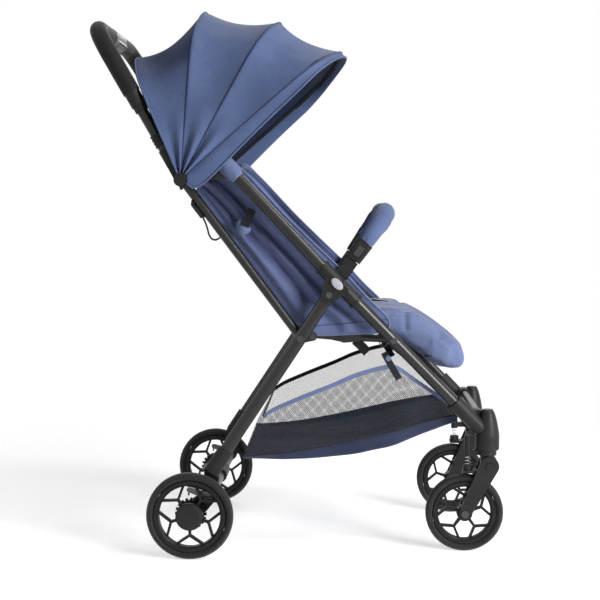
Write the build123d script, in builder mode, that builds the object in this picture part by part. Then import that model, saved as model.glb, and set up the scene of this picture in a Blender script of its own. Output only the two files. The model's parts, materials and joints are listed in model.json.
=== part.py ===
"""A compact folding baby stroller, in millimetres.

X points forward, Y to the left and Z up. The origin is on the floor, at the middle of the
stroller's length and width. A side-view point is a pair (x, z). Right-hand pieces lie on the
-Y side and the left-hand ones are their mirror images.
"""

import os
from math import acos, atan2, cos, degrees, hypot, radians, sin, tan

from build123d import *

os.makedirs("parts", exist_ok=True)

# ---------------------------------------------------------------- driving sizes

# clearances
fit_gap = 0.3  # between pieces that are held together
running_gap = 0.05  # around a pin or shaft that turns
layer_gap = 0.6  # between plates that turn side by side

# wheels
rear_wheel_radius = 82.5
rear_wheel_width = 26.0
rear_wheel_out = 235.0  # wheel's middle plane, out from the stroller's middle
front_wheel_radius = 75.0
front_wheel_width = 23.0
caster_out = 155.0
wheelbase = 523.0
caster_trail = 43.0  # swivel axis ahead of the front axle
tyre_depth = 13.0
rim_depth = 11.0
spoke_count = 5
spoke_width = 4.6
spoke_spread = 25.0  # degrees from a spoke's stem to each of its prongs' feet
axle_radius = 4.5
cap_radius = 26.0

# side view of the frame, forward of the rear axle and above the floor
hub_forward = 280.0
hub_height = 520.0
tube_top_forward = 79.0
tube_top_height = 732.0
leg_foot_back = 34.0  # behind the swivel axis
leg_foot_height = 260.0
leg_foot_out = 163.0
leg_pivot_back = 18.0  # rear leg's pivot behind and below the hub's middle
leg_pivot_drop = 20.0
back_foot_forward = 208.0
back_foot_height = 418.0
handle_pivot_forward = -14.0
handle_pivot_height = 714.0
handle_bar_forward = -178.0
handle_bar_height = 1000.5
rail_front_down = 149.2  # down the front leg from the hub
rail_knee_forward = 290.0
rail_knee_height = 416.0
rail_rear_forward = 231.0
rail_rear_height = 421.0
crossbar_forward = 36.0
crossbar_height = 116.0
seat_front_forward = 394.0
seat_front_height = 472.0
recline_forward = 222.0
recline_height = 436.0

# distances out from the stroller's middle
frame_out = 217.0  # front tubes and rear legs
back_tube_out = 196.0
handle_out = 205.0
rail_out = 173.5
seat_half_width = 166.2
bumper_out = 194.0

# tubes
tube_wall = 1.5
front_tube_radius = 10.75
front_leg_radius = 11.5
back_tube_radius = 8.75
handle_tube_radius = 10.5
rail_radius = 7.0
rear_leg_width = 24.0
rear_leg_thickness = 15.4
crossbar_radius = 10.0
footrest_radius = 9.0
pin_radius = 4.0

# mouldings
hub_radius = 14.0
hub_upper_length = 46.0
hub_lower_length = 49.0
cheek_thickness = 3.8
socket_wall = 4.0
housing_radius = 23.0
housing_top_radius = 14.0
housing_bottom = 198.0
housing_top = 276.0
stem_radius = 6.0
yoke_ring_radius = 18.0
suspension_forward = 3.0  # fork pivot ahead of the swivel axis
suspension_height = 168.0
fork_gap = 26.4  # between the fork's two arms
fork_arm_thickness = 6.0
fork_head_radius = 18.5
fork_foot_radius = 11.5
shock_back = 37.0  # shock post behind the swivel axis
shock_radius = 7.0
shock_top = 226.0
spring_radius = 5.0
spring_wire = 1.2
spring_turns = 6

# brake
gear_radius = 31.0
gear_teeth = 20
gear_tooth_depth = 5.0
gear_width = 8.5
brake_lift = 12.0  # degrees that the pawls are lifted while the brake is off
pedal_reach = 38.0
pedal_width = 64.0

# handle
grip_radius = 16.75
grip_start = 188.0  # along the handle from its pivot
handle_corner = 62.0
button_travel = 4.0
slider_travel = 5.0

# canopy bows, by angle above forward and reach from the handle pivot
canopy_rear_angle = 113.5
canopy_rear_reach = 266.0
bow_angles = [85.0, 61.0, 41.0]
bow_reaches = [334.0, 358.0, 389.0]
bow_thickness = 3.0
bow_width = 6.0
bow_corner = 85.0  # shoulder radius
crown_radius = 360.0
bow_out = 218.0  # inner face of the first bow's arms
cover_thickness = 2.2
cover_scallops = [18.0, 12.0, 12.0]  # drawn in between the bows, from the back
cover_bottom = 46.0  # along each bow, from the pivot

# soft parts
backrest_length = 326.0
backrest_thickness = 28.0
wing_out = seat_half_width + fit_gap
wing_thickness = 3.0
wing_lap = 16.0  # top edge past the front tube's axis
calf_half_width = 150.0
basket_wall = 3.0
basket_half_width = 183.0
basket_front_half_width = 150.0
webbing_width = 25.0
webbing_thickness = 1.8

# bumper bar
bumper_ahead = 14.0  # socket's middle ahead of and above the hub's
bumper_above = 27.0
bumper_rise = 55.0  # degrees above forward
bumper_reach = 128.0
bumper_corner = 64.0
bumper_pad_radius = 18.5
cuff_length = 40.0

# fold cable
cable_radius = 1.75

# ---------------------------------------------------------------- places worked out from them

handle_back = -handle_bar_forward + grip_radius
rear_axle_x = -(wheelbase + front_wheel_radius - handle_back) / 2


def spot(forward, height):
    """Side-view point from its distance ahead of the rear axle and its height."""
    return (rear_axle_x + forward, height)


def way(start, end):
    """Unit step of the side view from one point towards another."""
    length = hypot(end[0] - start[0], end[1] - start[1])
    return ((end[0] - start[0]) / length, (end[1] - start[1]) / length)


def along(start, end, distance, aside=0.0):
    """Point this far from start towards end, and this far aside to the right of that way."""
    step = way(start, end)
    x = start[0] + step[0] * distance + step[1] * aside
    return (x, start[1] + step[1] * distance - step[0] * aside)


def span(start, end):
    """Distance between two side-view points."""
    return hypot(end[0] - start[0], end[1] - start[1])


rear_axle = spot(0, rear_wheel_radius)
front_axle = spot(wheelbase, front_wheel_radius)
swivel_x = front_axle[0] + caster_trail
hub = spot(hub_forward, hub_height)
tube_top = spot(tube_top_forward, tube_top_height)
leg_foot = (swivel_x - leg_foot_back, leg_foot_height)
leg_pivot = (hub[0] - leg_pivot_back, hub[1] - leg_pivot_drop)
back_foot = spot(back_foot_forward, back_foot_height)
handle_pivot = spot(handle_pivot_forward, handle_pivot_height)
handle_bar = spot(handle_bar_forward, handle_bar_height)
rail_front = along(hub, leg_foot, rail_front_down)
rail_knee = spot(rail_knee_forward, rail_knee_height)
rail_rear = spot(rail_rear_forward, rail_rear_height)
crossbar = spot(crossbar_forward, crossbar_height)
seat_front = spot(seat_front_forward, seat_front_height)
recline_pivot = spot(recline_forward, recline_height)
suspension_pivot = (swivel_x + suspension_forward, suspension_height)
bumper_socket = (hub[0] + bumper_ahead, hub[1] + bumper_above)
shock = (swivel_x - shock_back, shock_top)

# ---------------------------------------------------------------- helpers


def out(point, distance):
    """The side-view point, this far out to the right of the stroller's middle."""
    return Vector(point[0], -distance, point[1])


def turned(point, centre, angle):
    """Side-view point turned about a centre, in degrees, up from forward."""
    x, z = point[0] - centre[0], point[1] - centre[1]
    c, s = cos(radians(angle)), sin(radians(angle))
    return (centre[0] + c * x - s * z, centre[1] + s * x + c * z)


def bar(start, end, radius, mode=Mode.ADD):
    """Add or cut a straight round bar between two places in space."""
    with BuildSketch(Plane(origin=start, z_dir=end - start)) as section:
        Circle(radius)
    extrude(section.sketch, amount=(end - start).length, mode=mode)


def disc(point, radius, inner, outer, mode=Mode.ADD):
    """Add or cut a round plate across the stroller, between two distances out."""
    bar(out(point, inner), out(point, outer), radius, mode)


def plate(points, inner, outer, corner=0.0, mode=Mode.ADD):
    """Add or cut a flat plate with this side-view outline, between two distances out."""
    with BuildSketch(Plane.XZ.offset(inner)) as outline:
        with BuildLine():
            Polyline(*points, close=True)
        make_face()
        if corner:
            fillet(outline.vertices(), corner)
    extrude(outline.sketch, amount=outer - inner, mode=mode)


def web(rounds, inner, outer, mode=Mode.ADD):
    """Add or cut the flat plate stretched round some circles, each (side-view point, radius)."""
    with BuildSketch(Plane.XZ.offset(inner)) as outline:
        for centre, radius in rounds:
            with Locations(centre):
                Circle(radius)
        make_hull(outline.edges())
    extrude(outline.sketch, amount=outer - inner, mode=mode)


def strip(points, width, inner, outer, mode=Mode.ADD):
    """Add or cut a band of this thickness that follows side-view points, between two distances out."""
    with BuildSketch(Plane.XZ.offset(inner)) as band:
        with BuildLine():
            Polyline(*points)
        trace(line_width=width)
    extrude(band.sketch, amount=outer - inner, mode=mode)


def turned_about(point, rings, distance):
    """Revolve an outline of (radius, distance further out) about an axle across the stroller."""
    plane = Plane(origin=out(point, distance), x_dir=(1, 0, 0), z_dir=(0, 0, 1))
    with BuildSketch(plane) as section:
        with BuildLine():
            Polyline(*[(radius, -further) for radius, further in rings], close=True)
        make_face()
    axis = Axis(out(point, distance), (0, 1, 0))
    revolve(section.sketch, axis)


def save_pair(right, name):
    """Write a right-hand piece and its mirror image as two nodes."""
    right.part.label = f"{name}_right"
    export_step(right.part, f"parts/{name}_right.step")
    with BuildPart() as left:
        mirror(right.part, about=Plane.XZ)
    left.part.label = f"{name}_left"
    export_step(left.part, f"parts/{name}_left.step")


def tooth_gap_angle(index):
    """Direction of one gap of the brake gear, in degrees above forward."""
    return pawl_angle + index * 360 / gear_teeth


# the pawl arms hang from the crossbar and drop into the gear along its tangent
axle_to_crossbar = span(rear_axle, crossbar)
gear_middle_radius = gear_radius - gear_tooth_depth / 2
crossbar_angle = degrees(atan2(crossbar[1] - rear_axle[1], crossbar[0] - rear_axle[0]))
pawl_angle = crossbar_angle + degrees(acos(gear_middle_radius / axle_to_crossbar))

# the front leg leans in towards the caster
hub_centre = out(hub, frame_out)
upper_way = (out(tube_top, frame_out) - hub_centre).normalized()
lower_way = (out(leg_foot, leg_foot_out) - hub_centre).normalized()
leg_lean = (frame_out - leg_foot_out) / span(hub, leg_foot)


def leg_out(point):
    """How far out the front leg's axis is, level with a side-view point."""
    return frame_out - leg_lean * span(hub, point)


# ---------------------------------------------------------------- wheels


def tyre(axle, radius, width, middle):
    """Foam tyre with a crowned tread."""
    base = radius - tyre_depth
    half = width / 2
    rings = [
        (base, -half * 0.7),
        (base + 4, -half),
        (radius - 5, -half),
        (radius - 1.4, -half * 0.62),
        (radius, -half * 0.25),
        (radius, half * 0.25),
        (radius - 1.4, half * 0.62),
        (radius - 5, half),
        (base + 4, half),
        (base, half * 0.7),
    ]
    turned_about(axle, rings, middle)


def spoke(axle, angle, start, fork_radius, end, inner, outer):
    """One Y-shaped spoke: a stem out to fork_radius, then two prongs to the rim."""
    stem_end = turned((axle[0] + fork_radius, axle[1]), axle, angle)
    stem_start = turned((axle[0] + start, axle[1]), axle, angle)
    web([(stem_start, spoke_width * 0.62), (stem_end, spoke_width / 2)], inner, outer)
    for side in (-1, 1):
        foot = turned((axle[0] + end, axle[1]), axle, angle + side * spoke_spread)
        web([(stem_end, spoke_width / 2), (foot, spoke_width / 2)], inner, outer)


def rim(axle, radius, width, middle, barrel, barrel_in, barrel_out, first_spoke):
    """Rim ring, spokes and hub barrel in one moulding."""
    seat = radius - tyre_depth - fit_gap
    inside = seat - rim_depth
    half = width / 2
    rings = [
        (inside, -half * 0.55),
        (inside + 3, -half * 0.8),
        (seat - 1.5, -half * 0.8),
        (seat, -half * 0.6),
        (seat, half * 0.6),
        (seat - 1.5, half * 0.8),
        (inside + 3, half * 0.8),
        (inside, half * 0.55),
    ]
    turned_about(axle, rings, middle)
    disc(axle, barrel, middle - barrel_in, middle + barrel_out)
    for number in range(spoke_count):
        angle = first_spoke + number * 360 / spoke_count
        spoke(axle, angle, barrel - 1, radius * 0.45, inside + 1.5, middle - 4.2, middle + 4.2)


rear_inner = rear_wheel_out - rear_wheel_width / 2
gear_in = rear_inner - gear_width - 0.5
barrel_radius = 15.0
rear_barrel_out = 4.5
cap_seat = rear_wheel_out + rear_barrel_out + fit_gap
cap_depth = 10.5

with BuildPart() as rear_tyre:
    tyre(rear_axle, rear_wheel_radius, rear_wheel_width, rear_wheel_out)
save_pair(rear_tyre, "rear_tyre")

with BuildPart() as rear_rim:
    rim(
        rear_axle,
        rear_wheel_radius,
        rear_wheel_width,
        rear_wheel_out,
        barrel_radius,
        rear_wheel_out - gear_in,
        rear_barrel_out,
        -90,
    )
    disc(rear_axle, cap_radius - 1, rear_wheel_out + 1, rear_wheel_out + rear_barrel_out)
    # the brake gear's solid ring and its teeth
    disc(rear_axle, gear_radius - gear_tooth_depth, gear_in, gear_in + gear_width)
    for tooth in range(gear_teeth):
        angle = tooth_gap_angle(tooth + 0.5)
        tooth_foot = turned((rear_axle[0] + gear_radius - gear_tooth_depth - 2, rear_axle[1]), rear_axle, angle)
        tooth_tip = turned((rear_axle[0] + gear_radius - 1, rear_axle[1]), rear_axle, angle)
        strip([tooth_foot, tooth_tip], 4.0, gear_in, gear_in + gear_width)
    disc(rear_axle, axle_radius + running_gap, gear_in - 1, rear_wheel_out + rear_barrel_out + 1, Mode.SUBTRACT)
save_pair(rear_rim, "rear_rim")

with BuildPart() as rear_cap:
    cap_rings = [
        (0.01, cap_depth),
        (cap_radius * 0.75, cap_depth),
        (cap_radius - 1.5, cap_depth - 1.6),
        (cap_radius, cap_depth - 4),
        (cap_radius, 0),
        (cap_radius - 2.4, 0),
        (cap_radius - 2.4, cap_depth - 3.2),
        (0.01, cap_depth - 3.2),
    ]
    turned_about(rear_axle, [(max(r, 0.0), further) for r, further in cap_rings], cap_seat)
save_pair(rear_cap, "rear_hub_cap")

with BuildPart() as front_tyre:
    tyre(front_axle, front_wheel_radius, front_wheel_width, caster_out)
save_pair(front_tyre, "front_tyre")

front_barrel = fork_gap / 2 - layer_gap
with BuildPart() as front_rim:
    rim(
        front_axle,
        front_wheel_radius,
        front_wheel_width,
        caster_out,
        barrel_radius,
        front_barrel,
        front_barrel,
        -54,
    )
    disc(front_axle, axle_radius + running_gap, caster_out - 20, caster_out + 20, Mode.SUBTRACT)
save_pair(front_rim, "front_rim")

# ---------------------------------------------------------------- casters

arm_in = fork_gap / 2
arm_out = arm_in + fork_arm_thickness
cup_top = suspension_height
wheel_clear = 3.5
cup_bottom = front_axle[1] + front_wheel_radius + wheel_clear
cup_floor = cup_bottom + 5

with BuildPart() as fork:
    for inner, outer in ((caster_out - arm_out, caster_out - arm_in), (caster_out + arm_in, caster_out + arm_out)):
        web([(suspension_pivot, fork_head_radius), (front_axle, fork_foot_radius)], inner, outer)
    # bridge behind the pivot that carries the spring's cup, clear above the tyre
    bridge_front = suspension_pivot[0] - 16
    bridge = [
        (shock[0] - 10, cup_bottom),
        (shock[0] - 10, cup_floor),
        (bridge_front - 3, cup_floor),
        (bridge_front, cup_floor - 5),
        (bridge_front, cup_bottom - 3.5),
        (bridge_front - 8, cup_bottom - 2.5),
        (shock[0] + 6, cup_bottom),
    ]
    plate(bridge, caster_out - arm_in, caster_out + arm_in)
    cup = Vector(shock[0], -caster_out, cup_floor)
    bar(cup, cup + Vector(0, 0, cup_top - cup_floor), shock_radius + 2.4)
    bar(cup, cup + Vector(0, 0, cup_top - cup_floor + 1), spring_radius + spring_wire + fit_gap, Mode.SUBTRACT)
    disc(suspension_pivot, pin_radius + running_gap, caster_out - arm_out - 1, caster_out + arm_out + 1, Mode.SUBTRACT)
    disc(front_axle, axle_radius + fit_gap, caster_out - arm_out - 1, caster_out + arm_out + 1, Mode.SUBTRACT)
save_pair(fork, "caster_fork")

with BuildPart() as front_axle_bolt:
    disc(front_axle, axle_radius, caster_out - arm_out - 1.5, caster_out + arm_out + 1.5)
    disc(front_axle, axle_radius + 2.6, caster_out + arm_out + fit_gap, caster_out + arm_out + 2.6)
    disc(front_axle, axle_radius + 2.6, caster_out - arm_out - 2.6, caster_out - arm_out - fit_gap)
save_pair(front_axle_bolt, "front_axle_bolt")

ring_top = housing_bottom - 0.6
ring_bottom = ring_top - 9.5
swivel_foot = Vector(swivel_x, -caster_out, ring_bottom)
pocket_depth = 34.0
spring_top = ring_bottom + 12
stem_length = 46.0
yoke_half = arm_in - layer_gap

with BuildPart() as yoke:
    bar(swivel_foot, swivel_foot + Vector(0, 0, ring_top - ring_bottom), yoke_ring_radius)
    bar(swivel_foot, swivel_foot + Vector(0, 0, ring_top - ring_bottom + stem_length), stem_radius)
    web([(suspension_pivot, fork_head_radius - 3), ((swivel_x - 4, ring_bottom), 9)], caster_out - yoke_half, caster_out + yoke_half)
    # arm back to the shock post and the post itself, open below for the spring
    plate(
        [(swivel_x, ring_bottom), (swivel_x, ring_top), (shock[0], ring_top), (shock[0], ring_bottom)],
        caster_out - 6,
        caster_out + 6,
    )
    post_foot = Vector(shock[0], -caster_out, ring_bottom - 3)
    bar(post_foot, Vector(shock[0], -caster_out, shock_top), shock_radius)
    bar(post_foot, Vector(shock[0], -caster_out, spring_top), spring_radius + spring_wire / 2 + fit_gap, Mode.SUBTRACT)
    # cross pin on which the fork rocks
    disc(suspension_pivot, pin_radius, caster_out - arm_out - 0.5, caster_out + arm_out + 0.5)
    for distance in (caster_out - arm_out - 3, caster_out + arm_out + layer_gap):
        disc(suspension_pivot, pin_radius + 2.5, distance, distance + 3 - layer_gap)
save_pair(yoke, "caster_yoke")

with BuildPart() as spring:
    spring_foot = cup_floor + fit_gap + spring_wire / 2
    spring_length = spring_top - fit_gap - spring_wire / 2 - spring_foot
    with BuildLine() as coil:
        Helix(spring_length / spring_turns, spring_length, spring_radius, center=(shock[0], -caster_out, spring_foot))
    with BuildSketch(Plane(origin=coil.line @ 0, z_dir=coil.line % 0)) as wire:
        RegularPolygon(spring_wire / 2, 6)
    sweep(wire.sketch, path=coil.line, is_frenet=True)
save_pair(spring, "fork_spring")

housing_foot = Vector(swivel_x, -caster_out, housing_bottom)
leg_end = out(leg_foot, leg_foot_out)
socket_radius = front_leg_radius + socket_wall
leg_depth = 46.0
footrest = (leg_foot[0] + 16, leg_foot[1] + 2)
boss_in = caster_out - 27
footrest_end = caster_out - 6

with BuildPart() as housing:
    with BuildSketch(Plane(origin=housing_foot, x_dir=(1, 0, 0), z_dir=(0, -1, 0))) as half:
        height = housing_top - housing_bottom
        with BuildLine():
            Polyline((0, 0), (housing_radius - 1.5, 0), (housing_radius, 2), (housing_radius, height * 0.34))
            Spline((housing_radius, height * 0.34), (housing_radius * 0.83, height * 0.66), (housing_top_radius, height * 0.9))
            Polyline((housing_top_radius, height * 0.9), (housing_top_radius * 0.7, height), (0, height), (0, 0))
        make_face()
    revolve(half.sketch, Axis(housing_foot, (0, 0, 1)))
    # socket for the front leg, running on into the swivel barrel
    bar(leg_end - lower_way * leg_depth, leg_end + lower_way * 30, socket_radius)
    disc(footrest, footrest_radius + socket_wall, boss_in, caster_out)
    bar(leg_end - lower_way * (leg_depth + 1), leg_end, front_leg_radius + fit_gap, Mode.SUBTRACT)
    disc(footrest, footrest_radius + fit_gap, boss_in - 1, footrest_end + fit_gap, Mode.SUBTRACT)
    bar(housing_foot, housing_foot + Vector(0, 0, stem_length + 1), stem_radius + running_gap, Mode.SUBTRACT)
save_pair(housing, "caster_housing")

with BuildPart() as footrest_bar:
    disc(footrest, footrest_radius, -footrest_end, footrest_end)
    disc(footrest, footrest_radius - tube_wall, -footrest_end, footrest_end, Mode.SUBTRACT)
footrest_bar.part.label = "footrest_bar"
export_step(footrest_bar.part, "parts/footrest_bar.step")

# ---------------------------------------------------------------- front tubes, front legs and hubs

web_half = 8.0  # solid middle of the hub between the two tubes, each way from its centre
link_in = handle_out + 8.5
link_out = link_in + 3.0
link_end_radius = 12.0
link_eye = 8.0

with BuildPart() as front_tubes:
    bar(hub_centre + upper_way * web_half, out(tube_top, frame_out), front_tube_radius)
    tube_end = out(along(hub, tube_top, span(hub, tube_top) - 18), frame_out)
    bar(hub_centre + upper_way * web_half, tube_end, front_tube_radius - tube_wall, Mode.SUBTRACT)
    disc(tube_top, front_tube_radius, frame_out - front_tube_radius * 0.7, frame_out + front_tube_radius * 0.7)
    # slot for the top link's loose end, and the hole for its pin
    slot_half = link_end_radius + 8
    slot = [along(tube_top, hub, -slot_half, -slot_half), along(tube_top, hub, 17, -slot_half)]
    slot += [along(tube_top, hub, 17, slot_half), along(tube_top, hub, -slot_half, slot_half)]
    plate(slot, link_in - layer_gap, link_out + layer_gap, mode=Mode.SUBTRACT)
    disc(tube_top, pin_radius - 1 + fit_gap, frame_out - 20, frame_out + 20, Mode.SUBTRACT)
    mirror(about=Plane.XZ)
front_tubes.part.label = "front_tubes"
export_step(front_tubes.part, "parts/front_tubes.step")

with BuildPart() as front_legs:
    bar(hub_centre + lower_way * web_half, leg_end, front_leg_radius)
    bar(hub_centre + lower_way * web_half, leg_end, front_leg_radius - tube_wall, Mode.SUBTRACT)
    disc(rail_front, pin_radius + fit_gap, leg_out(rail_front) - 20, leg_out(rail_front) + 20, Mode.SUBTRACT)
    mirror(about=Plane.XZ)
front_legs.part.label = "front_legs"
export_step(front_legs.part, "parts/front_legs.step")

leg_in = frame_out - rear_leg_thickness / 2
leg_face = frame_out + rear_leg_thickness / 2
cheek_in = leg_in - layer_gap
cheek_out = leg_face + layer_gap
bumper_step = (cos(radians(bumper_rise)), sin(radians(bumper_rise)))
tongue_width = 14.0
tongue_thickness = 10.0
socket_length = 40.0


def bumper_at(distance, aside=0.0):
    """Point along the bumper bar's arm, from its socket."""
    far = (bumper_socket[0] + bumper_step[0], bumper_socket[1] + bumper_step[1])
    return along(bumper_socket, far, distance, aside)


def bumper_slab(start, end, width, inner, outer, mode=Mode.ADD):
    """Block along the bumper bar's arm, in side view and between two distances out."""
    corners = [bumper_at(start, -width / 2), bumper_at(end, -width / 2)]
    corners += [bumper_at(end, width / 2), bumper_at(start, width / 2)]
    plate(corners, inner, outer, mode=mode)


socket_in = bumper_out - tongue_thickness / 2 - 4
socket_out = bumper_out + tongue_thickness / 2 + 6

with BuildPart() as hubs:
    bar(hub_centre, hub_centre + upper_way * hub_upper_length, hub_radius)
    bar(hub_centre, hub_centre + lower_way * hub_lower_length, hub_radius)
    # end collars
    bar(hub_centre + upper_way * (hub_upper_length - 5), hub_centre + upper_way * hub_upper_length, hub_radius + 1.2)
    bar(hub_centre + lower_way * (hub_lower_length - 5), hub_centre + lower_way * hub_lower_length, hub_radius + 1.2)
    # clevis cheeks for the rear leg
    upper_root = along(hub, tube_top, 24)
    lower_root = along(hub, leg_foot, 16)
    for inner, outer in ((cheek_in - cheek_thickness, cheek_in), (cheek_out, cheek_out + cheek_thickness)):
        web([(leg_pivot, rear_leg_width / 2 + 2), (upper_root, 7), (lower_root, 7)], inner, outer)
    # bumper bar socket and its bridge to the sleeve
    bumper_slab(-socket_length / 2, socket_length / 2, tongue_width + 10, socket_in, socket_out)
    web([(bumper_at(0), 11), (along(hub, tube_top, 14), 10)], socket_out - 6, frame_out - 4)
    # plain oval boss on the outer face
    face = Plane(origin=out(hub, frame_out), x_dir=(way(hub, leg_foot)[0], 0, way(hub, leg_foot)[1]), z_dir=(0, -1, 0))
    with BuildSketch(face.offset(hub_radius - 4)) as oval:
        Ellipse(12.5, 8)
    extrude(oval.sketch, amount=5.4)
    # bores for the two tubes, the leg's pin and the bumper bar's tongue
    upper_bore = hub_centre + upper_way * (web_half - fit_gap)
    lower_bore = hub_centre + lower_way * (web_half - fit_gap)
    bar(upper_bore, hub_centre + upper_way * (hub_upper_length + 1), front_tube_radius + fit_gap, Mode.SUBTRACT)
    bar(lower_bore, hub_centre + lower_way * (hub_lower_length + 1), front_leg_radius + fit_gap, Mode.SUBTRACT)
    disc(leg_pivot, pin_radius + fit_gap, cheek_in - 10, cheek_out + 10, Mode.SUBTRACT)
    bumper_slab(
        -socket_length / 2 + 4,
        socket_length / 2 + 1,
        tongue_width + 2 * fit_gap,
        bumper_out - tongue_thickness / 2 - fit_gap,
        bumper_out + tongue_thickness / 2 + fit_gap,
        Mode.SUBTRACT,
    )
    mirror(about=Plane.XZ)
hubs.part.label = "hubs"
export_step(hubs.part, "parts/hubs.step")

# ---------------------------------------------------------------- rear legs, brackets, crossbar and brake

leg_step = way(leg_pivot, back_foot)
leg_reach = (leg_pivot[1] - crossbar[1] - 50) / -leg_step[1]
leg_bottom = along(leg_pivot, back_foot, leg_reach)
lug_in = back_tube_out + back_tube_radius + 0.8

with BuildPart() as rear_legs:
    # oval tube: two round edges and flat faces
    leg_plane = Plane(origin=out(leg_pivot, frame_out), x_dir=(0, 1, 0), z_dir=(leg_step[0], 0, leg_step[1]))
    with BuildSketch(leg_plane.offset(0)) as oval:
        Ellipse(rear_leg_thickness / 2, rear_leg_width / 2)
        Ellipse(rear_leg_thickness / 2 - tube_wall, rear_leg_width / 2 - tube_wall, mode=Mode.SUBTRACT)
    extrude(oval.sketch, amount=leg_reach)
    # flattened solid top end round the pivot
    disc(leg_pivot, rear_leg_width / 2, leg_in, leg_face)
    web([(leg_pivot, rear_leg_width / 2 - 0.5), (along(leg_pivot, back_foot, 20), 8)], leg_in, leg_face)
    # lug that carries the seat rail's rear pin
    web([(back_foot, 10), (rail_rear, 8.5)], lug_in, leg_in + 2)
    disc(leg_pivot, pin_radius + running_gap, leg_in - 1, leg_face + 1, Mode.SUBTRACT)
    disc(back_foot, pin_radius + fit_gap, lug_in - 1, leg_face + 1, Mode.SUBTRACT)
    disc(rail_rear, pin_radius + fit_gap, lug_in - 1, leg_in + 3, Mode.SUBTRACT)
    mirror(about=Plane.XZ)
rear_legs.part.label = "rear_legs"
export_step(rear_legs.part, "parts/rear_legs.step")

bracket_in = gear_in - 0.8 - 12
bracket_face = gear_in - 0.8
socket_top = along(leg_pivot, back_foot, leg_reach - 46)
socket_foot = along(leg_pivot, back_foot, leg_reach + 4)
socket_half = rear_leg_thickness / 2 + fit_gap + 3

with BuildPart() as rear_brackets:
    # socket round the leg's lower end
    socket_plane = Plane(
        origin=out(socket_top, frame_out), x_dir=(0, 1, 0), z_dir=(leg_step[0], 0, leg_step[1])
    )
    with BuildSketch(socket_plane) as socket_outline:
        Ellipse(socket_half, rear_leg_width / 2 + fit_gap + 3)
    extrude(socket_outline.sketch, amount=50)
    # blade down to the axle, inboard of the wheel
    web([(socket_foot, 14), (crossbar, crossbar_radius + socket_wall + 1)], bracket_in, bracket_face)
    web([(crossbar, crossbar_radius + socket_wall), (rear_axle, 20)], bracket_in, bracket_face)
    web([(along(leg_pivot, back_foot, leg_reach - 33), 12), (socket_foot, 14)], bracket_in, frame_out)
    disc(crossbar, crossbar_radius + socket_wall, bracket_in - 12, bracket_face)
    disc(rear_axle, 22, bracket_in - 6, bracket_in + 4)
    # hollows for the leg, crossbar, brake shaft and axle bolt
    with BuildSketch(socket_plane.offset(-1)) as leg_hole:
        Ellipse(rear_leg_thickness / 2 + fit_gap, rear_leg_width / 2 + fit_gap)
    extrude(leg_hole.sketch, amount=47 + fit_gap, mode=Mode.SUBTRACT)
    disc(crossbar, crossbar_radius + fit_gap, bracket_in - 13, bracket_face - 4, Mode.SUBTRACT)
    disc(crossbar, pin_radius + running_gap, bracket_in, bracket_face + 1, Mode.SUBTRACT)
    disc(rear_axle, axle_radius + fit_gap, bracket_in - 10, bracket_face + 1, Mode.SUBTRACT)
    mirror(about=Plane.XZ)
rear_brackets.part.label = "rear_brackets"
export_step(rear_brackets.part, "parts/rear_brackets.step")

crossbar_end = bracket_face - 4 - fit_gap
with BuildPart() as rear_crossbar:
    disc(crossbar, crossbar_radius, -crossbar_end, crossbar_end)
    disc(crossbar, crossbar_radius - tube_wall, -crossbar_end, crossbar_end, Mode.SUBTRACT)
    # window in the back for the pedal's drive peg
    window = [(crossbar[0], crossbar[1] - 6), (crossbar[0], crossbar[1] + 6)]
    window += [(crossbar[0] - 14, crossbar[1] + 6), (crossbar[0] - 14, crossbar[1] - 6)]
    plate(window, -5, 5, mode=Mode.SUBTRACT)
rear_crossbar.part.label = "rear_crossbar"
export_step(rear_crossbar.part, "parts/rear_crossbar.step")

pawl_in = gear_in + 0.8
pawl_out = gear_in + gear_width - 0.8
pawl_seat = turned((rear_axle[0] + gear_middle_radius, rear_axle[1]), rear_axle, pawl_angle)
pawl_tip_seat = turned((rear_axle[0] + gear_radius - gear_tooth_depth + 1.2, rear_axle[1]), rear_axle, pawl_angle)
pawl_back_seat = turned((rear_axle[0] + gear_radius + 7, rear_axle[1]), rear_axle, pawl_angle)
pawl_back = turned(pawl_back_seat, crossbar, -brake_lift)
pawl_tip = turned(pawl_tip_seat, crossbar, -brake_lift)

with BuildPart() as brake_shaft:
    disc(crossbar, pin_radius, -pawl_in, pawl_out)
    web([(crossbar, 7.5), (pawl_back, 4.5)], pawl_in, pawl_out)
    strip([pawl_back, pawl_tip], 3.0, pawl_in, pawl_out)
    mirror(about=Plane.XZ)
    # peg that the pedal drives
    with BuildSketch(Plane(origin=Vector(crossbar[0], 0, crossbar[1]), z_dir=(-1, 0, 0))) as peg:
        Circle(2.5)
    extrude(peg.sketch, amount=crossbar_radius + 1.5)
brake_shaft.part.label = "brake_shaft"
export_step(brake_shaft.part, "parts/brake_shaft.step")

with BuildPart() as brake_pedal:
    sleeve = crossbar_radius + 4.5
    disc(crossbar, sleeve, -pedal_width / 2, pedal_width / 2)
    tread_front = (crossbar[0], crossbar[1] + sleeve - 3)
    tread_middle = (crossbar[0] - pedal_reach * 0.6, crossbar[1] + sleeve - 2)
    tread_back = (crossbar[0] - pedal_reach, crossbar[1] + sleeve - 6)
    strip([tread_front, tread_middle, tread_back], 5.0, -pedal_width / 2, pedal_width / 2)
    fillet(brake_pedal.edges().filter_by(Axis.Y).group_by(Axis.X)[0], 1.6)
    disc(crossbar, crossbar_radius + running_gap, -pedal_width, pedal_width, Mode.SUBTRACT)
    with BuildSketch(Plane(origin=Vector(crossbar[0], 0, crossbar[1]), z_dir=(-1, 0, 0))) as peg_hole:
        Circle(2.5 + fit_gap)
    extrude(peg_hole.sketch, amount=crossbar_radius + 1.5 + fit_gap, mode=Mode.SUBTRACT)
brake_pedal.part.label = "brake_pedal"
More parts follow.
